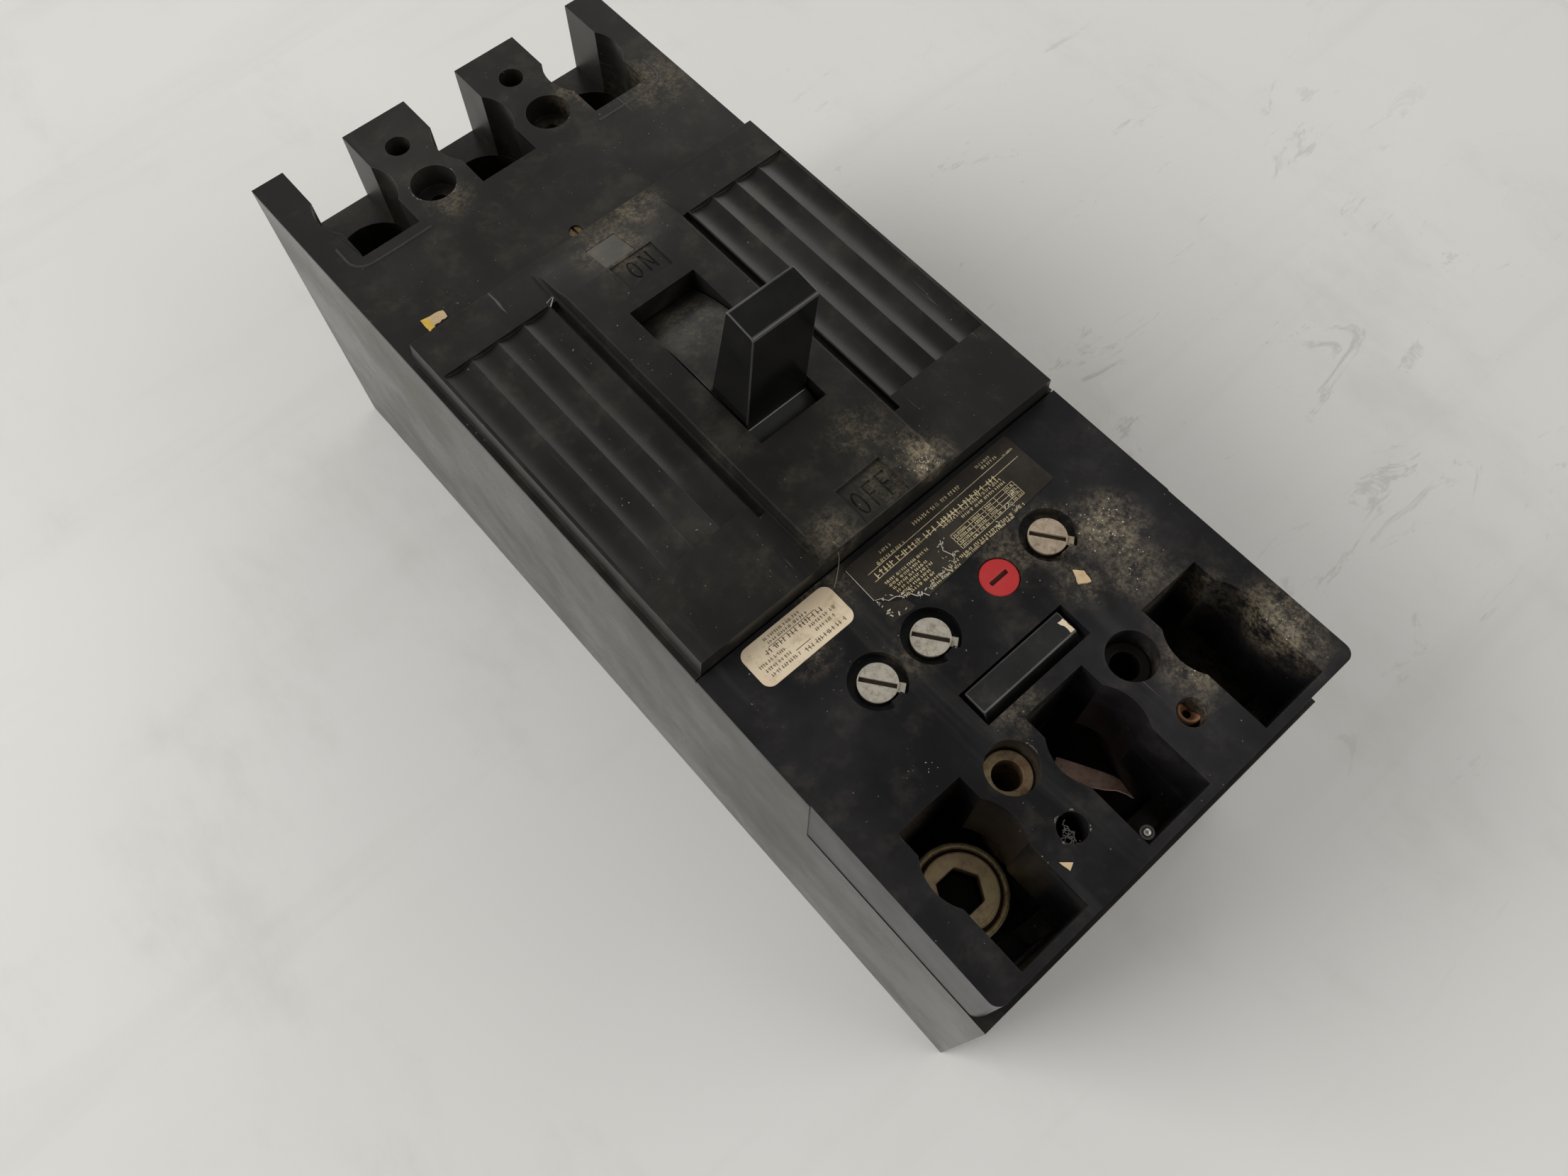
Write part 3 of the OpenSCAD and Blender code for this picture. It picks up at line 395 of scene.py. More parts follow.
def weigh_edges(bm, width, angle):
    """Marks the sharp edges for the bevel, each by as much as its neighbours leave room for."""
    in_line = 0.97
    tiny = 1e-9
    layer = bm.edges.layers.float.new("bevel_weight_edge")
    for e in bm.edges:
        e.tag = len(e.link_faces) == 2 and e.calc_face_angle(0.0) > angle
    for e in bm.edges:
        if not e.tag:
            continue
        room = width * 2.4
        for v in e.verts:
            for o in v.link_edges:
                if o is e:
                    continue
                d = o.other_vert(v).co - v.co
                along = e.other_vert(v).co - v.co
                if d.length < tiny or along.length < tiny:
                    continue
                if abs(d.normalized().dot(along.normalized())) > in_line:
                    continue
                room = min(room, d.length)
        e[layer] = min(1.0, room * 0.42 / width)


def dress(node, mat, edge=None, width=0.4, segments=2):
    """A copy of a CAD solid with rounded edges, which is shown in its place."""
    angle = 32
    bm = welded(node)
    weigh_edges(bm, width * MM, math.radians(angle))
    mesh = bpy.data.meshes.new(node + "_shape")
    bm.to_mesh(mesh)
    bm.free()
    obj = link(node + "_body", mesh, [mat, edge or mat], NODE_BODY[node], angle)
    mod = obj.modifiers.new("round", "BEVEL")
    mod.limit_method = "WEIGHT"
    mod.width = width * MM
    mod.segments = segments
    # The rounded faces take the second material, which on the housing and the grip is lighter: partly wear,
    # partly painted highlight.
    mod.material = 1 if edge else 0
    mod.use_clamp_overlap = True
    mod.miter_outer = "MITER_ARC"
    normal = obj.modifiers.new("normals", "WEIGHTED_NORMAL")
    normal.keep_sharp = True
    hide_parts(node)


def box_into(bm, lo, hi, mat=0):
    """A small block between two corners in millimetres."""
    xs, ys, zs = zip(lo, hi)
    vs = [bm.verts.new((x * MM, y * MM, z * MM)) for x in xs for y in ys for z in zs]
    for q in ((0, 1, 3, 2), (4, 6, 7, 5), (0, 4, 5, 1), (2, 3, 7, 6), (0, 2, 6, 4), (1, 5, 7, 3)):
        f = bm.faces.new([vs[i] for i in q])
        f.material_index = mat


def slab_into(bm, points, z0, z1, mat=0, origin=(0, 0), turn=0.0):
    """A flat plate with the given outline in millimetres."""
    c, s = math.cos(turn), math.sin(turn)
    pts = [(origin[0] + x * c - y * s, origin[1] + x * s + y * c) for x, y in points]
    lo = [bm.verts.new((x * MM, y * MM, z0 * MM)) for x, y in pts]
    hi = [bm.verts.new((x * MM, y * MM, z1 * MM)) for x, y in pts]
    faces = [bm.faces.new(hi), bm.faces.new(list(reversed(lo)))]
    k = len(pts)
    for i in range(k):
        faces.append(bm.faces.new((lo[i], lo[(i + 1) % k], hi[(i + 1) % k], hi[i])))
    for f in faces:
        f.material_index = mat


def mesh_of(name, bm, mats, body, smooth=35, bevel=0.0):
    """Turns a bmesh into a piece of the scene."""
    bmesh.ops.recalc_face_normals(bm, faces=bm.faces)
    mesh = bpy.data.meshes.new(name)
    bm.to_mesh(mesh)
    bm.free()
    obj = link(name, mesh, mats, body, smooth)
    if bevel:
        mod = obj.modifiers.new("round", "BEVEL")
        mod.width = bevel * MM
        mod.segments = 2
        mod.limit_method = "ANGLE"
    return obj


def tube_into(bm, path, radius, sides=8):
    """A round wire along points in millimetres, with closed ends."""
    pts = [Vector(p) * MM for p in path]
    last = len(pts) - 1
    up = Vector((0, 0, 1))
    turns = [2 * math.pi * k / sides for k in range(sides)]
    rings = []
    for i, p in enumerate(pts):
        t = (pts[min(i + 1, last)] - pts[max(i - 1, 0)]).normalized()
        upright = abs(t.dot(up)) > 0.95
        side = t.cross(Vector((1, 0, 0)) if upright else up).normalized()
        other = t.cross(side).normalized()
        rings.append([bm.verts.new(p + (side * math.cos(a) + other * math.sin(a)) * radius * MM)
                      for a in turns])
    for r0, r1 in zip(rings, rings[1:]):
        for k in range(sides):
            bm.faces.new((r0[k], r0[(k + 1) % sides], r1[(k + 1) % sides], r1[k]))
    bm.faces.new(rings[0])
    bm.faces.new(list(reversed(rings[-1])))


def coil(name, node, centres, z0, z1, radius, wire, turns, mat):
    """Wound springs with nearly flat end turns, shown in place of a node."""
    per_turn = 20
    steps = turns * per_turn
    mid_r = radius - wire / 2
    bm = bmesh.new()
    for cx, cy in centres:
        path = []
        for i in range(steps + 1):
            a = 2 * math.pi * i / per_turn
            t = i / steps
            ease = min(1.0, max(0.0, (t * turns - 0.8) / max(turns - 1.6, 0.1)))
            z = z0 + wire / 2 + (z1 - z0 - wire) * (0.03 * t + 0.97 * ease)
            path.append((cx + mid_r * math.cos(a), cy + mid_r * math.sin(a), z))
        tube_into(bm, path, wire / 2)
    obj = mesh_of(name, bm, [mat], NODE_BODY[node], 60)
    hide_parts(node)


# ---------------------------------------------------------------- dressed solids

# Node, material, material of the rounded edges (partly rubbed, partly painted highlight), width of the
# rounding in millimetres, its segments
HOUSING = [
    ("base", "base", "edge", 0.7, 3),
    ("main_cover", "cover", "edge", 0.55, 3),
    ("trip_unit_cover", "unit", "edge", 0.6, 3),
    ("operating_handle", "handle", "handle_edge", 0.36, 3),
    ("handle_shield", "shield", "edge", 0.25, 2),
    ("rating_insert", "insert", "insert_edge", 0.3, 3),
    ("trip_button", "button", "button", 0.25, 2),
    ("dial_left", "dial", "dial", 0.25, 2),
    ("dial_centre", "dial", "dial", 0.25, 2),
    ("dial_right", "dial_dirty", "dial_dirty", 0.25, 2),
    ("load_lug", "lug", "lug", 0.7, 4),
    ("lug_screw", "lug_face", "lug_face", 0.35, 3),
]
# Node, material, width of the rounding in millimetres
FITTINGS = [
    ("lug_mounting_screw", "steel", 0.25),
    ("strap_screws", "steel", 0.3),
    ("calibration_screw", "brass", 0.15),
    ("position_window", "window", 0.1),
    ("cover_bushings", "bushing", 0.25),
    ("handle_yoke", "steel", 0.25),
    ("mechanism_side_plates", "steel", 0.25),
    ("frame_cross_pins", "steel", 0.25),
    ("cradle", "steel", 0.3),
    ("latch_lever", "dark_steel", 0.3),
    ("upper_links", "steel", 0.2),
    ("lower_links", "steel", 0.2),
    ("toggle_pin", "silver", 0.2),
    ("crossbar", "bar", 0.4),
    ("trip_bar", "bar", 0.3),
    ("moving_contacts", "silver", 0.4),
    ("fixed_contacts", "silver", 0.4),
]
# The same for what each pole has one of
POLE_PARTS = [
    ("contact_arm_", "copper", 0.4),
    ("line_strap_", "strap", 0.35),
    ("load_strap_", "strap", 0.35),
    ("arc_chute_", "dark_steel", 0.2),
    ("braid_", "copper", 0.4),
    ("heater_strap_", "copper", 0.3),
    ("bimetal_", "steel", 0.2),
    ("magnet_yoke_", "dark_steel", 0.3),
    ("armature_", "steel", 0.2),
]

for node_name, material, rubbed, rounding, steps in HOUSING:
    dress(node_name, M[material], M[rubbed], rounding, steps)
for node_name, material, rounding in FITTINGS:
    dress(node_name, M[material], None, rounding)
for pole in ("left", "centre", "right"):
    for prefix, material, rounding in POLE_PARTS:
        dress(prefix + pole, M[material], None, rounding)

coil("operating_spring_coils", "operating_springs", [(-7.5, -1.5), (7.5, -1.5)],
     48.6, 86.9, 1.8, 0.8, 22, M["steel"])
coil("button_spring_coil", "trip_button_spring", [(10, -65.7)], 87.25, 93.95, 3.8, 0.7, 6, M["steel"])


# ---------------------------------------------------------------- small details

def print_line(bm, x0, x1, y, h, z, seed, mat=0, word=(2, 7)):
    """A line of generic marks, each a stem with a short stub, grouped like words. It spells nothing."""
    rnd = random.Random(seed)
    x = x0
    left = rnd.randint(*word)
    stroke = max(0.13, h * 0.17)
    while x + h * 0.5 < x1:
        w = h * rnd.uniform(0.42, 0.62)
        stem = rnd.choice((0.0, 0.5, 1.0)) * (w - stroke)
        box_into(bm, (x + stem, y, z), (x + stem + stroke, y + h, z + 0.03), mat)
        level = rnd.choice((0.28, 0.46, 0.64)) * h
        box_into(bm, (x, y + level, z), (x + w, y + level + stroke * 0.8, z + 0.028), mat)
        x += w + h * 0.2
        left -= 1
        if left == 0:
            x += h * 0.5
            left = rnd.randint(*word)


def ragged(points, amount, step, seed):
    """The outline with its edges broken into short uneven pieces."""
    rnd = random.Random(seed)
    out = []
    for i, (x, y) in enumerate(points):
        x2, y2 = points[(i + 1) % len(points)]
        length = math.hypot(x2 - x, y2 - y)
        n = max(1, int(length / step))
        nx, ny = (y2 - y) / length, -(x2 - x) / length
        for k in range(n):
            t = k / n
            off = 0 if k == 0 else rnd.uniform(-amount, amount)
            out.append((x + (x2 - x) * t + nx * off, y + (y2 - y) * t + ny * off))
    return out


def nameplate():
    """Foil plate with generic rows and a table, torn at one corner and flaking where it has cracked."""
    z = UNIT_TOP + 0.02
    top = z + 0.14
    line_t = 0.02
    bm = bmesh.new()
    tear = [(-4.0, -59.1), (-4.6, -57.9), (-5.9, -57.6), (-6.6, -56.3), (-8.3, -55.6), (-9.4, -54.6),
            (-11.2, -54.3), (-12.1, -52.9), (-13.35, -52.4)]
    slab_into(bm, [(-13.3, -42.95), *reversed(tear), (35.85, -57.0), (35.55, -42.35)], z, top)
    # What is left of the torn corner lies lower
    corner = [(-13.5, -52.7), (-13.95, -58.5), (-7.8, -58.9), (-8.4, -56.2), (-11.3, -54.7)]
    slab_into(bm, ragged(corner, 0.12, 1.1, 4), z, z + 0.05)

    # Rows of marks, each with its two ends, its foot and its height
    lines = [(5.0, 19.2, -45.3, 0.95), (24.8, 29.2, -44.7, 0.7), (25.6, 30.8, -45.7, 0.7),
             (-5.0, -1.4, -45.2, 0.8), (-7.4, 1.2, -46.8, 0.8), (-9.3, 27.2, -48.95, 1.45),
             (9.1, 27.4, -49.95, 0.75), (14.0, 27.6, -51.1, 0.7), (31.4, 34.6, -46.6, 0.55)]
    row_step = 0.98
    for i, end in enumerate((3.6, 0.4, 2.2, 2.6, 1.4, 2.0)):
        lines.append((-9.1 + 0.25 * i, end - 0.3 * i, -51.1 - row_step * i, 0.68))
    lines += [(-1.6, 26.6, -57.35, 0.75), (8.0, 22.6, -58.15, 0.55), (-2.6, 6.0, -58.3, 0.6)]
    for i, (x0, x1, y, h) in enumerate(lines):
        print_line(bm, x0, x1, y + (x0 - 5) * 0.02, h, top, 20 + i, 1)
    for x0, y0, x1, y1 in ((-10.4, -47.3, 33.8, -46.0), (-10.4, -49.45, 33.9, -48.1)):
        slab_into(bm, [(x0, y0), (x1, y1), (x1, y1 + 0.13), (x0, y0 + 0.13)], top, top + line_t, 1)

    # The table, a little askew
    table_x0, table_x1, table_y = 8.9, 28.4, -52.1
    for k in range(5):
        y = table_y - k * row_step
        rule = [(table_x0, y - 0.1), (table_x1, y + 0.55), (table_x1, y + 0.66), (table_x0, y + 0.01)]
        slab_into(bm, rule, top, top + line_t, 1)
    for x in (8.9, 14.2, 18.6, 22.4, 25.4, 28.3):
        y = table_y + (x - table_x0) * 0.033
        slab_into(bm, [(x, y - 4.0), (x + 0.11, y - 4.0), (x + 0.11, y), (x, y)], top, top + line_t, 1)
    for k in range(4):
        for x, w in ((9.5, 4.2), (15.0, 2.8), (19.2, 2.2), (25.8, 2.2)):
            y = -52.95 - k * row_step + (x - table_x0) * 0.033
            print_line(bm, x, x + w, y, 0.55, top, int(x * 7) + k, 1)

    # White flakes: centre, spread and count of each group
    rnd = random.Random(11)
    spots = [(-12.1, -53.6, 1.4, 9), (-8.5, -55.3, 1.2, 7), (-5.6, -57.6, 0.7, 5), (5.8, -52.6, 1.2, 6),
             (4.2, -56.0, 1.4, 8), (6.9, -55.6, 0.8, 4), (2.2, -57.9, 1.3, 7), (-2.4, -57.9, 1.1, 6),
             (23.9, -55.4, 1.0, 7), (24.8, -56.6, 0.8, 5), (19.0, -56.8, 1.0, 5), (26.5, -53.6, 0.7, 3),
             (-12.9, -56.6, 0.7, 4), (-10.2, -57.6, 1.3, 3)]
    flake_outline = ((0.3, 1.5), (1.3, 0.8), (2.4, 1.2), (3.5, 1.4), (4.5, 0.6), (5.4, 1.1))
    for cx, cy, spread, count in spots:
        for _ in range(count):
            x, y = cx + rnd.gauss(0, spread * 0.6), cy + rnd.gauss(0, spread * 0.45)
            x, y = min(35, max(-13.2, x)), min(-43.5, max(-58.1, y))
            a = rnd.uniform(0, math.pi)
            r = rnd.uniform(0.12, 0.42)
            shape = [(r * q * math.cos(t), r * 0.55 * q * math.sin(t)) for t, q in flake_outline]
            slab_into(bm, shape, top - 0.02, top + 0.05, 2, (x, y), a)

    # White lines along the tear, the left edge and one crack
    crack = [(6.6, -51.4), (5.4, -53.6), (6.3, -55.9), (4.6, -58.2)]
    for path in (tear, [(-13.3, -43.4), (-13.5, -52.3)], crack):
        for (x0, y0), (x1, y1) in zip(path, path[1:]):
            w = rnd.uniform(0.05, 0.1)
            length = math.hypot(x1 - x0, y1 - y0)
            nx, ny = -(y1 - y0) / length * w, (x1 - x0) / length * w
            shape = [(x0 - nx, y0 - ny), (x1 - nx, y1 - ny), (x1 + nx, y1 + ny), (x0 + nx, y0 + ny)]
            slab_into(bm, shape, top - 0.03, top + 0.03, 2)
    mats = [M["plate"], M["print"], M["flake"]]
    obj = mesh_of("nameplate_sheet", bm, mats, "frame", 30)
    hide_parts("nameplate")


def side_label():
    """Cream sticker with round corners and generic rows."""
    z = UNIT_TOP + 0.02
    top = z + 0.12
    cx, cy, w, h, r = -30.6, -47.6, 12.25, 5.05, 2.2
    outline = []
    for sx, sy, start in ((1, 1, 0), (-1, 1, 90), (-1, -1, 180), (1, -1, 270)):
        for k in range(7):
            a = math.radians(start + 15 * k)
            outline.append((cx + sx * (w - r) + r * math.cos(a), cy + sy * (h - r) + r * math.sin(a)))
    bm = bmesh.new()
    slab_into(bm, outline, z, top)
    rows = [(-6.0, 3.6, 3.5, 0.75), (-5.6, 5.0, 2.4, 0.75), (-7.6, 8.2, 0.75, 1.15),
            (-10.6, -3.6, -0.7, 0.8), (3.2, 10.6, -0.5, 0.8), (-10.0, -3.4, -2.1, 0.8),
            (3.6, 9.4, -1.9, 0.8), (-9.6, -1.8, -3.5, 0.8), (-0.9, 10.0, -4.0, 1.0)]
    for i, (x0, x1, y, size) in enumerate(rows):
        print_line(bm, cx + x0, cx + x1, cy + y, size, top, 70 + i, 1)
    box_into(bm, (cx - 6.2, cy + 2.0, top), (cx + 6.4, cy + 2.12, top + 0.02), 1)
    box_into(bm, (cx - 2.4, cy - 2.3, top), (cx + 1.6, cy - 2.15, top + 0.02), 1)
    mats = [M["label"], M["label_print"]]
    obj = mesh_of("side_label_sheet", bm, mats, "frame", 30)
    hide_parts("side_label")


def flake(name, points, z0, z1, mat, amount):
    """A thin scrap with a ragged outline."""
    bm = bmesh.new()
    slab_into(bm, ragged(points, amount, 0.7, len(points) * 3), z0, z1)
    mesh_of(name, bm, [mat], "frame", 20)


def grit(name, clusters, slot, seed):
    """Small angular grains lying on a surface, and none over an opening in it.

    A cluster is a centre, a spread along X and Y, a count and the largest radius.
    """
    corner_turns = (0.2, 1.5, 2.7, 3.9, 5.2)
    mats = [M["grit"], M["flake"]]
    tree = tree_of(slot)
    rnd = random.Random(seed)
    bm = bmesh.new()
    for cx, cy, z, spread_x, spread_y, count, big in clusters:
        for _ in range(count):
            x, y = cx + rnd.gauss(0, spread_x), cy + rnd.gauss(0, spread_y)
            r = rnd.uniform(0.05, big)
            hit = tree.ray_cast(Vector((x * MM, y * MM, 1.0)), Vector((0, 0, -1)))[0]
            if hit is None or abs(hit.z / MM - z) > 0.7:
                continue
            z = hit.z / MM
            base = []
            for a in corner_turns:
                px = x + r * rnd.uniform(0.7, 1.3) * math.cos(a)
                py = y + r * rnd.uniform(0.5, 1.2) * math.sin(a)
                base.append(bm.verts.new((px * MM, py * MM, (z - 0.02) * MM)))
            tip_z = z + r * rnd.uniform(0.4, 0.9)
            tip = bm.verts.new(((x + r * 0.2) * MM, y * MM, tip_z * MM))
            mat = rnd.randrange(len(mats))
            faces = [bm.faces.new(list(reversed(base)))]
            faces += [bm.faces.new((base[k], base[(k + 1) % 5], tip)) for k in range(5)]
            for f in faces:
                f.material_index = mat
    mesh_of(name, bm, mats, "frame", 0)


def turned(name, profile, centre, mat, body, sides=40):
    """A ring turned from a closed profile of (radius, z) points in millimetres."""
    cx, cy = centre
    bm = bmesh.new()
    rings = []
    for k in range(sides):
        c, s = math.cos(2 * math.pi * k / sides), math.sin(2 * math.pi * k / sides)
        rings.append([bm.verts.new(((cx + r * c) * MM, (cy + r * s) * MM, z * MM)) for r, z in profile])
    n = len(profile)
    for k in range(sides):
        r0, r1 = rings[k], rings[(k + 1) % sides]
        for i in range(n):
            bm.faces.new((r0[i], r1[i], r1[(i + 1) % n], r0[(i + 1) % n]))
    mesh_of(name, bm, [mat], body, 40)


def oval(radius, z, half_r, half_z):
    """A round profile for a ring, of 12 points."""
    turns = [2 * math.pi * k / 12 for k in range(12)]
    return [(radius + half_r * math.cos(a), z + half_z * math.sin(a)) for a in turns]


def thread_rings():
    """Rounded lip round the lug screw, a dark ring for the groove inside it as painted shade, and a worn rim
    on its face.
    """
    centre = (-35, -105.4)
    turned("lug_lip", oval(10.2, 63.95, 0.6, 0.45), centre, M["lug_rim"], "frame")
    # Painted shade: a dark ring stands for the groove in shade.
    turned("lug_groove_shade", oval(9.15, 63.9, 0.42, 0.25), centre, M["strap"], "frame")
    turned("screw_rim", oval(8.0, 65.5, 0.45, 0.22), centre, M["lug_face"], "lug_screw")


def pocket_lips():
    """Low rounded lips round the inner corners of the two outer line pockets."""
    for side, where in ((-1, "left"), (1, "right")):
        bm = bmesh.new()
        path = [(side * 46.9, 99.5), (side * 46.9, 95.0)]
        for k in range(6):
            a = math.radians(18 * k)
            path.append((side * (42.4 + 4.5 * math.cos(a)), 94.6 - 4.3 * math.sin(a)))
        path += [(side * 36.0, 90.25), (side * 25.6, 90.35)]
        tube_into(bm, [(x, y, COVER_TOP - 0.1) for x, y in path], 0.36)
        mesh_of("pocket_lip_" + where, bm, [M["edge"]], "frame", 60)


def copper_tail():
    """Bent strap left standing in the middle load pocket, and the dull cap beside it."""
    half_t = 0.3
    # Middle of the strap, and half its width there
    line = [((3.6, -98.6, 59.0), 1.1), ((4.2, -101.4, 60.2), 1.7), ((5.4, -104.6, 60.6), 2.2),
            ((7.0, -107.8, 60.6), 2.4), ((8.9, -110.6, 60.2), 2.0), ((10.2, -112.3, 59.6), 1.3),
            ((11.3, -114.2, 58.4), 1.0), ((12.2, -116.2, 57.4), 0.95), ((13.0, -118.4, 56.6), 0.85)]
    bm = bmesh.new()
    rings = []
    for (x, y, z), h in line:
        left, right = (x - h, y - 0.5), (x + h * 0.9, y + 0.4)
        corners = ((*left, z - half_t), (*right, z - half_t), (*right, z + half_t), (*left, z + half_t))
        rings.append([bm.verts.new(Vector(v) * MM) for v in corners])
    for r0, r1 in zip(rings, rings[1:]):
        for k in range(4):
            bm.faces.new((r0[k], r0[(k + 1) % 4], r1[(k + 1) % 4], r1[k]))
    bm.faces.new(rings[0])
    bm.faces.new(list(reversed(rings[-1])))
    mesh_of("copper_tail", bm, [M["tail"]], "frame", 50, 0.12)
    cap = [(2.4, 55.0), (6.3, 55.0), (6.6, 56.0), (6.2, 57.4), (5.0, 58.4), (3.4, 58.8), (2.4, 58.4)]
    turned("terminal_cap", cap, (0.5, -99.2), M["strap"], "frame", 32)


def eyelet():
    """Orange eyelet in the right load mounting hole, and grey fluff in the left one."""
    ring = [(0.9, 90.4), (2.5, 90.4), (2.75, 92.3), (2.5, 92.9), (2.0, 92.8), (1.2, 91.3)]
    turned("eyelet", ring, (19.7, -111.5), M["eyelet"], "frame", 28)
    rnd = random.Random(41)
    bm = bmesh.new()
    for _ in range(9):
        x, y, z = -17.0 + rnd.gauss(0, 0.5), -112.9 + rnd.gauss(0, 0.5), 91.2 + rnd.uniform(-0.5, 0.7)
        path = []
        for _ in range(7):
            path.append((x, y, z))
            x, y, z = x + rnd.gauss(0, 0.5), y + rnd.gauss(0, 0.5), z + rnd.gauss(0, 0.25)
        tube_into(bm, path, 0.13, 5)
    mesh_of("hole_fluff", bm, [M["fluff"]], "frame", 60)


def foot_line():
    """Painted highlight: a bright line where the front of the grip meets its shield, standing in for a
    reflection there.
    """
    grip, shield = tree_of("operating_handle"), tree_of("handle_shield")
    back, down = Vector((0, 1, 0)), Vector((0, 0, -1))
    z = 103.0
    # The grip leans and the shield is curved, so the place is found in a few steps
    for _ in range(3):
        front = grip.ray_cast(Vector((0, -0.2, z * MM)), back)[0].y / MM
        z = shield.ray_cast(Vector((0, (front - 0.3) * MM, 0.2)), down)[0].z / MM + 0.08
    bm = bmesh.new()
    tube_into(bm, [(x, front - 0.04, z) for x in (-8.1, -3, 2, 8.1)], 0.14, 6)
    mesh_of("grip_foot_line", bm, [M["glint"]], NODE_BODY["handle_shield"], 60)


def hair(name, points, radius, mat):
    """A fine thread along points in millimetres, with its corners smoothed."""
    path = []
    for start, end in zip(points, points[1:]):
        for t in (0, 0.25, 0.5, 0.75):
            path.append([a + (b - a) * t for a, b in zip(start, end)])
    path.append(points[-1])
    for k in range(1, len(path) - 1):
        path[k] = [(path[k - 1][j] + 2 * path[k][j] + path[k + 1][j]) / 4 for j in range(3)]
    bm = bmesh.new()
    tube_into(bm, path, radius, 6)
    mesh_of(name, bm, [mat], "frame", 60)


def chipped_rim(name, centre, radius, z, seed):
    """Short dull chips in a few groups round the lip of a counterbore."""
    rnd = random.Random(seed)
    bm = bmesh.new()
    for _ in range(5):
        group = rnd.uniform(0, 2 * math.pi)
        for _ in range(4):
            a = group + rnd.gauss(0, 0.16)
            r = radius + rnd.uniform(0.05, 0.35)
            span = rnd.uniform(0.1, 0.45)
            w = rnd.uniform(0.03, 0.09)
            shape = [(-span, -w), (span * 0.4, -w * 1.4), (span, w * 0.4), (-span * 0.6, w)]
            place = (centre[0] + r * math.cos(a), centre[1] + r * math.sin(a))
            slab_into(bm, shape, z - 0.05, z + 0.03, 0, place, a + math.pi / 2)
    mesh_of(name, bm, [M["rim_chip"]], "frame", 20)


def small_pin():
    """Head of a pin by the middle load pocket, in a shallow dull ring."""
    centre = (-7.4, -122.1)
    head = [(0.02, 97.3), (0.85, 97.3), (0.8, 97.6), (0.55, 97.85), (0.25, 97.95), (0.02, 97.97)]
    hollow = [(0.95, 97.4), (1.5, 97.4), (1.4, 97.54), (1.1, 97.54)]
    turned("pin_head", head, centre, M["steel"], "frame", 24)
    turned("pin_hollow", hollow, centre, M["edge"], "frame", 24)


nameplate()
side_label()
thread_rings()
pocket_lips()
copper_tail()
eyelet()
foot_line()

flake("loose_chip", [(22.6, -74.9), (24.2, -76.6), (23.5, -79.3), (21.1, -77.9)],
      UNIT_TOP - 0.05, UNIT_TOP + 0.45, M["chip"], 0.15)
flake("insert_chip", [(11.7, -80.9), (13.2, -80.9), (13.3, -84.3), (12.2, -84.2), (12.3, -82.4)],
      96.86, 96.98, M["label"], 0.1)
flake("paper_corner", [(-24.3, -114.8), (-22.3, -116.6), (-23.9, -117.3)],
      UNIT_TOP - 0.05, UNIT_TOP + 0.1, M["chip"], 0.05)
flake("yellow_scrap", [(-43.6, 69.0), (-43.7, 65.0), (-41.9, 65.4), (-41.7, 68.7)],
      COVER_TOP - 0.05, COVER_TOP + 0.1, M["sticker"], 0.1)
flake("tan_scrap", [(-41.9, 68.6), (-42.0, 65.6), (-38.2, 65.8), (-38.0, 67.9), (-40.0, 68.5)],
      COVER_TOP - 0.05, COVER_TOP + 0.25, M["chip"], 0.15)
small_pin()

hair("fibre_end", [(-14.0, -37.4, 105.6), (-13.4, -40.0, 105.9), (-13.6, -41.6, 101.5),
                   (-15.6, -43.2, 98.0), (-17.6, -44.6, 97.7)], 0.06, M["fibre"])
hair("scratch_rear", [(-16.3, 52.7, DECK_TOP), (-17.1, 50.7, DECK_TOP), (-20.5, 47.9, DECK_TOP)],
     0.14, M["scratch"])
chipped_rim("rim_chips_load", LOAD_COUNTERBORE, COUNTERBORE_R, UNIT_TOP, 31)
chipped_rim("rim_chips_hole", LOAD_HOLE, LOAD_HOLE_R, UNIT_TOP, 33)
chipped_rim("rim_chips_line", LINE_COUNTERBORE, COUNTERBORE_R, COVER_TOP, 35)
hair("scratch_left", [(-17.4, 50.2, DECK_TOP), (-20.6, 49.3, DECK_TOP)], 0.1, M["scratch"])

grit("grains_unit", [(36, -73, UNIT_TOP, 3.2, 3.4, 60, 0.28), (30, -66, UNIT_TOP, 2.4, 2.0, 24, 0.2),
                     (33, -84, UNIT_TOP, 4, 3, 24, 0.2), (-31, -84, UNIT_TOP, 2.5, 2, 16, 0.16),
                     (-10, -88, UNIT_TOP, 5, 3, 14, 0.14), (44, -112, UNIT_TOP, 3, 4, 40, 0.22),
                     (26, -106, UNIT_TOP, 3, 3, 26, 0.2), (-20, -62, UNIT_TOP, 12, 3, 12, 0.12)],
     "trip_unit_cover", 3)
grit("grains_pad", [(13.6, -38.6, PAD_TOP - 0.02, 1.6, 1.0, 60, 0.24),
                    (11, -34, PAD_TOP - 0.02, 3, 2.2, 24, 0.14)], "main_cover", 5)
grit("grains_cover", [(-30, -32, DECK_TOP, 9, 4, 26, 0.12), (32, -31, DECK_TOP, 9, 4, 20, 0.12),
                      (-30, 80, COVER_TOP, 9, 7, 22, 0.14), (10, 80, COVER_TOP, 18, 7, 34, 0.12),
                      (35, 84, COVER_TOP, 7, 5, 20, 0.14)], "main_cover", 8)


# ---------------------------------------------------------------- floor and light

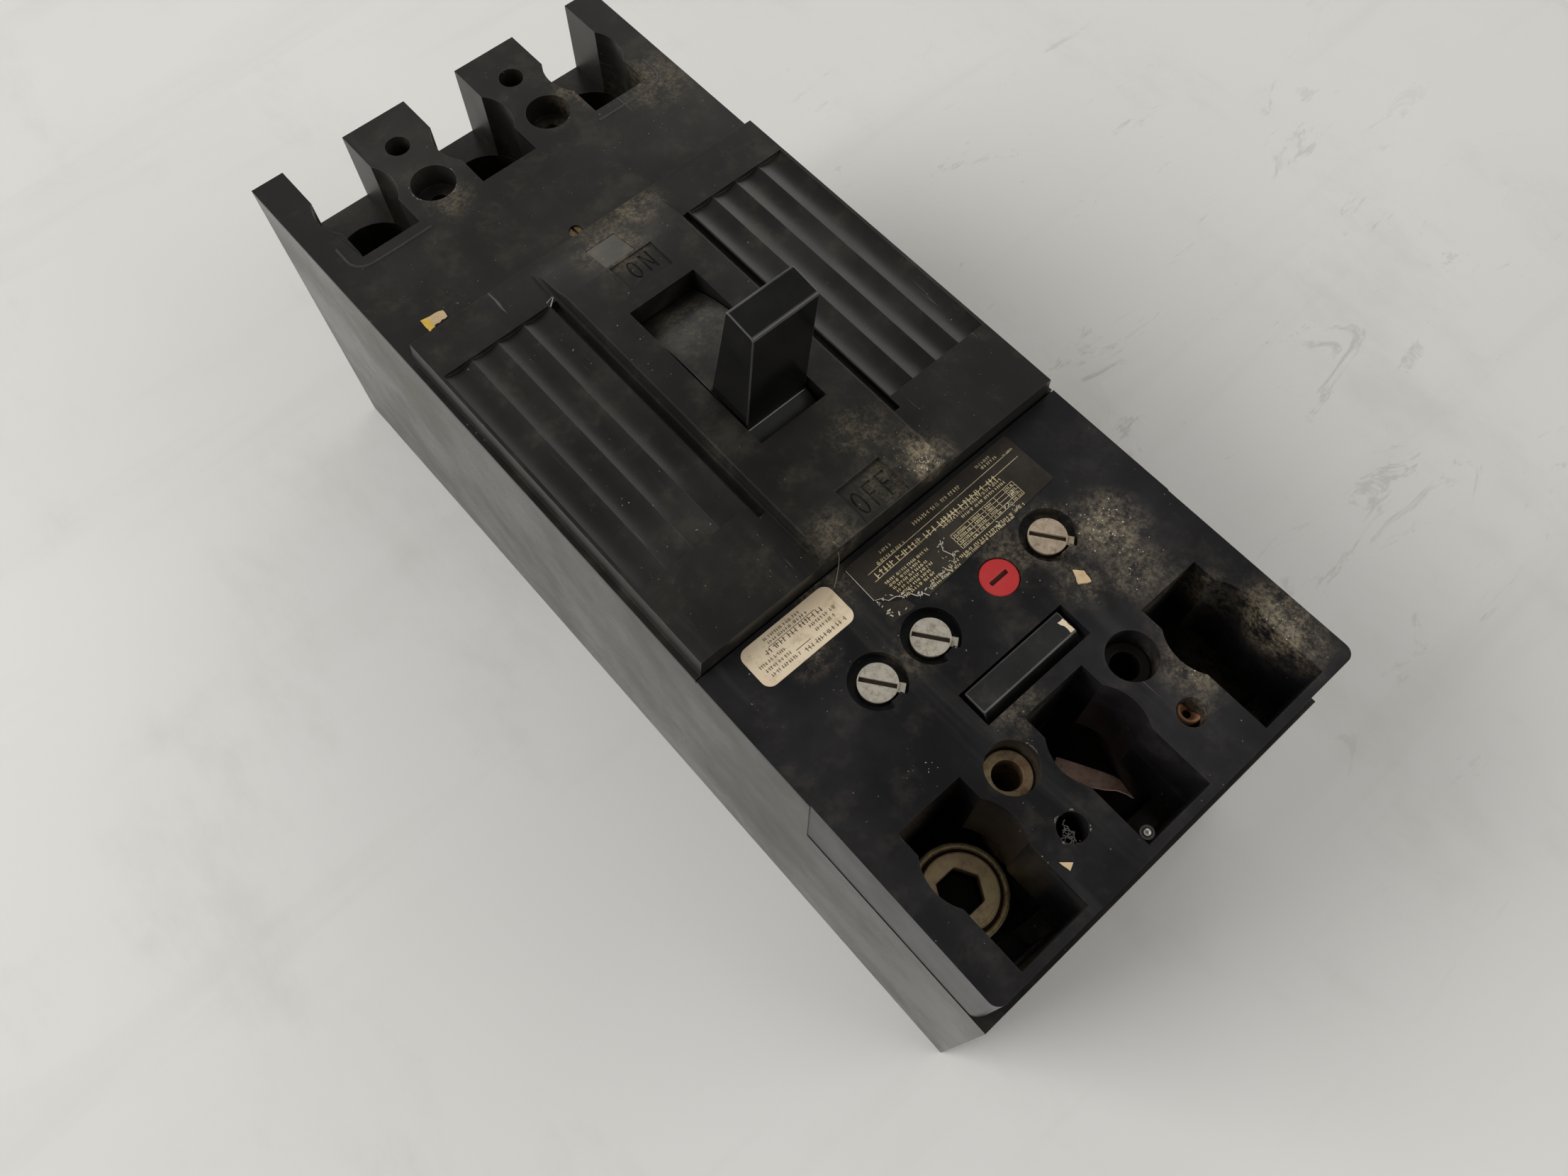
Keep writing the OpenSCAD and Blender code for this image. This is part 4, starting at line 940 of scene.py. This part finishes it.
def floor():
    """Plain pale painted floor with faint clouds, streaks and a few scuffs on the right."""
    size = 6
    scuff_colour = (0.2, 0.185, 0.16)
    n = Nodes("floor_paint")
    cloud = n.noise(3.0, 3.0, 0.5)
    colour = n.mix(n.ramp(cloud, 0.3, 0.7), (0.69, 0.68, 0.655), (0.75, 0.742, 0.72))
    smudge = n.ramp(n.noise(14.0, 6.0, 0.7, (1.0, 0.5, 1.0)), 0.5, 0.72)
    colour = n.mix(n.math("MULTIPLY", smudge, 0.2), colour, (0.42, 0.4, 0.36))
    streak = n.ramp(n.noise(26.0, 4.0, 0.6, (0.12, 1.0, 1.0), 0.4), 0.5, 0.68)
    colour = n.mix(n.math("MULTIPLY", streak, 0.14), colour, (0.5, 0.48, 0.44))
    scuff = n.ramp(n.noise(60.0, 5.0, 0.75, (0.35, 1.0, 1.0), 1.0), 0.6, 0.68)
    scuff = n.math("MULTIPLY", n.math("MULTIPLY", scuff, 0.26), n.near((170, -10, 0), 210, (1.0, 0.7, 1.0)))
    colour = n.mix(scuff, colour, scuff_colour)
    n.bump(n.noise(220.0, 3.0, 0.6), 0.1, 0.0002)
    mat = n.finish(colour, 0.5)
    # Just below the breaker, so that the two faces don't flicker
    bpy.ops.mesh.primitive_plane_add(size=size, location=(0, 0, -0.0002))
    obj = bpy.context.object
    obj.name = "floor"
    obj.data.materials.append(mat)


def area(name, loc, target, size, power, colour, glossy=True):
    """A soft lamp in metres and watts. One that isn't glossy leaves no reflection of its own."""
    light = bpy.data.lights.new(name, "AREA")
    light.shape = "RECTANGLE"
    light.size, light.size_y = size
    light.energy = power
    light.color = colour
    obj = bpy.data.objects.new(name, light)
    bpy.context.scene.collection.objects.link(obj)
    obj.location = loc
    obj.visible_glossy = glossy
    obj.rotation_euler = (Vector(target) - Vector(loc)).to_track_quat("-Z", "Y").to_euler()


def studio_world():
    """Dim overhead and brighter towards the walls, as in a plain room."""
    world = bpy.data.worlds.new("world")
    world.use_nodes = True
    nt = world.node_tree
    back = nt.nodes["Background"]
    back.inputs[0].default_value = (1.0, 0.985, 0.955, 1)
    direction = nt.nodes.new("ShaderNodeTexCoord").outputs["Generated"]
    sep = nt.nodes.new("ShaderNodeSeparateXYZ")
    nt.links.new(direction, sep.inputs[0])
    ramp = nt.nodes.new("ShaderNodeMapRange")
    ramp.interpolation_type = "SMOOTHSTEP"
    nt.links.new(sep.outputs[2], ramp.inputs["Value"])
    for socket, value in (("From Min", 0.35), ("From Max", 0.95), ("To Min", 0.62), ("To Max", 0.11)):
        ramp.inputs[socket].default_value = value
    nt.links.new(ramp.outputs["Result"], back.inputs[1])
    bpy.context.scene.world = world


floor()
WINDOW_AT = (-1.15, 0.75, 0.95)
WINDOW_SIZE = (1.1, 1.1)
WINDOW_COLOUR = (1.0, 0.995, 0.985)
MIDDLE = (0, 0, 0.0)
area("window", WINDOW_AT, MIDDLE, WINDOW_SIZE, 22.0, WINDOW_COLOUR, False)
area("window_shine", WINDOW_AT, MIDDLE, WINDOW_SIZE, 3.0, WINDOW_COLOUR)
area("right_wall", (1.3, 0.7, 0.75), (0, 0, 0.08), (1.0, 0.8), 3.0, (1.0, 0.97, 0.93))
area("overhead", (0.0, -0.1, 0.95), (0.0, -0.1, 0.0), (0.5, 0.5), 0.6, (1.0, 0.99, 0.97), False)
area("load_wall", (0.75, -0.95, 0.85), (0.05, -0.1, 0.0), (0.9, 0.9), 4.0, (1.0, 0.98, 0.95))
studio_world()
bpy.context.scene.view_settings.view_transform = "Standard"
bpy.context.scene.view_settings.look = "None"
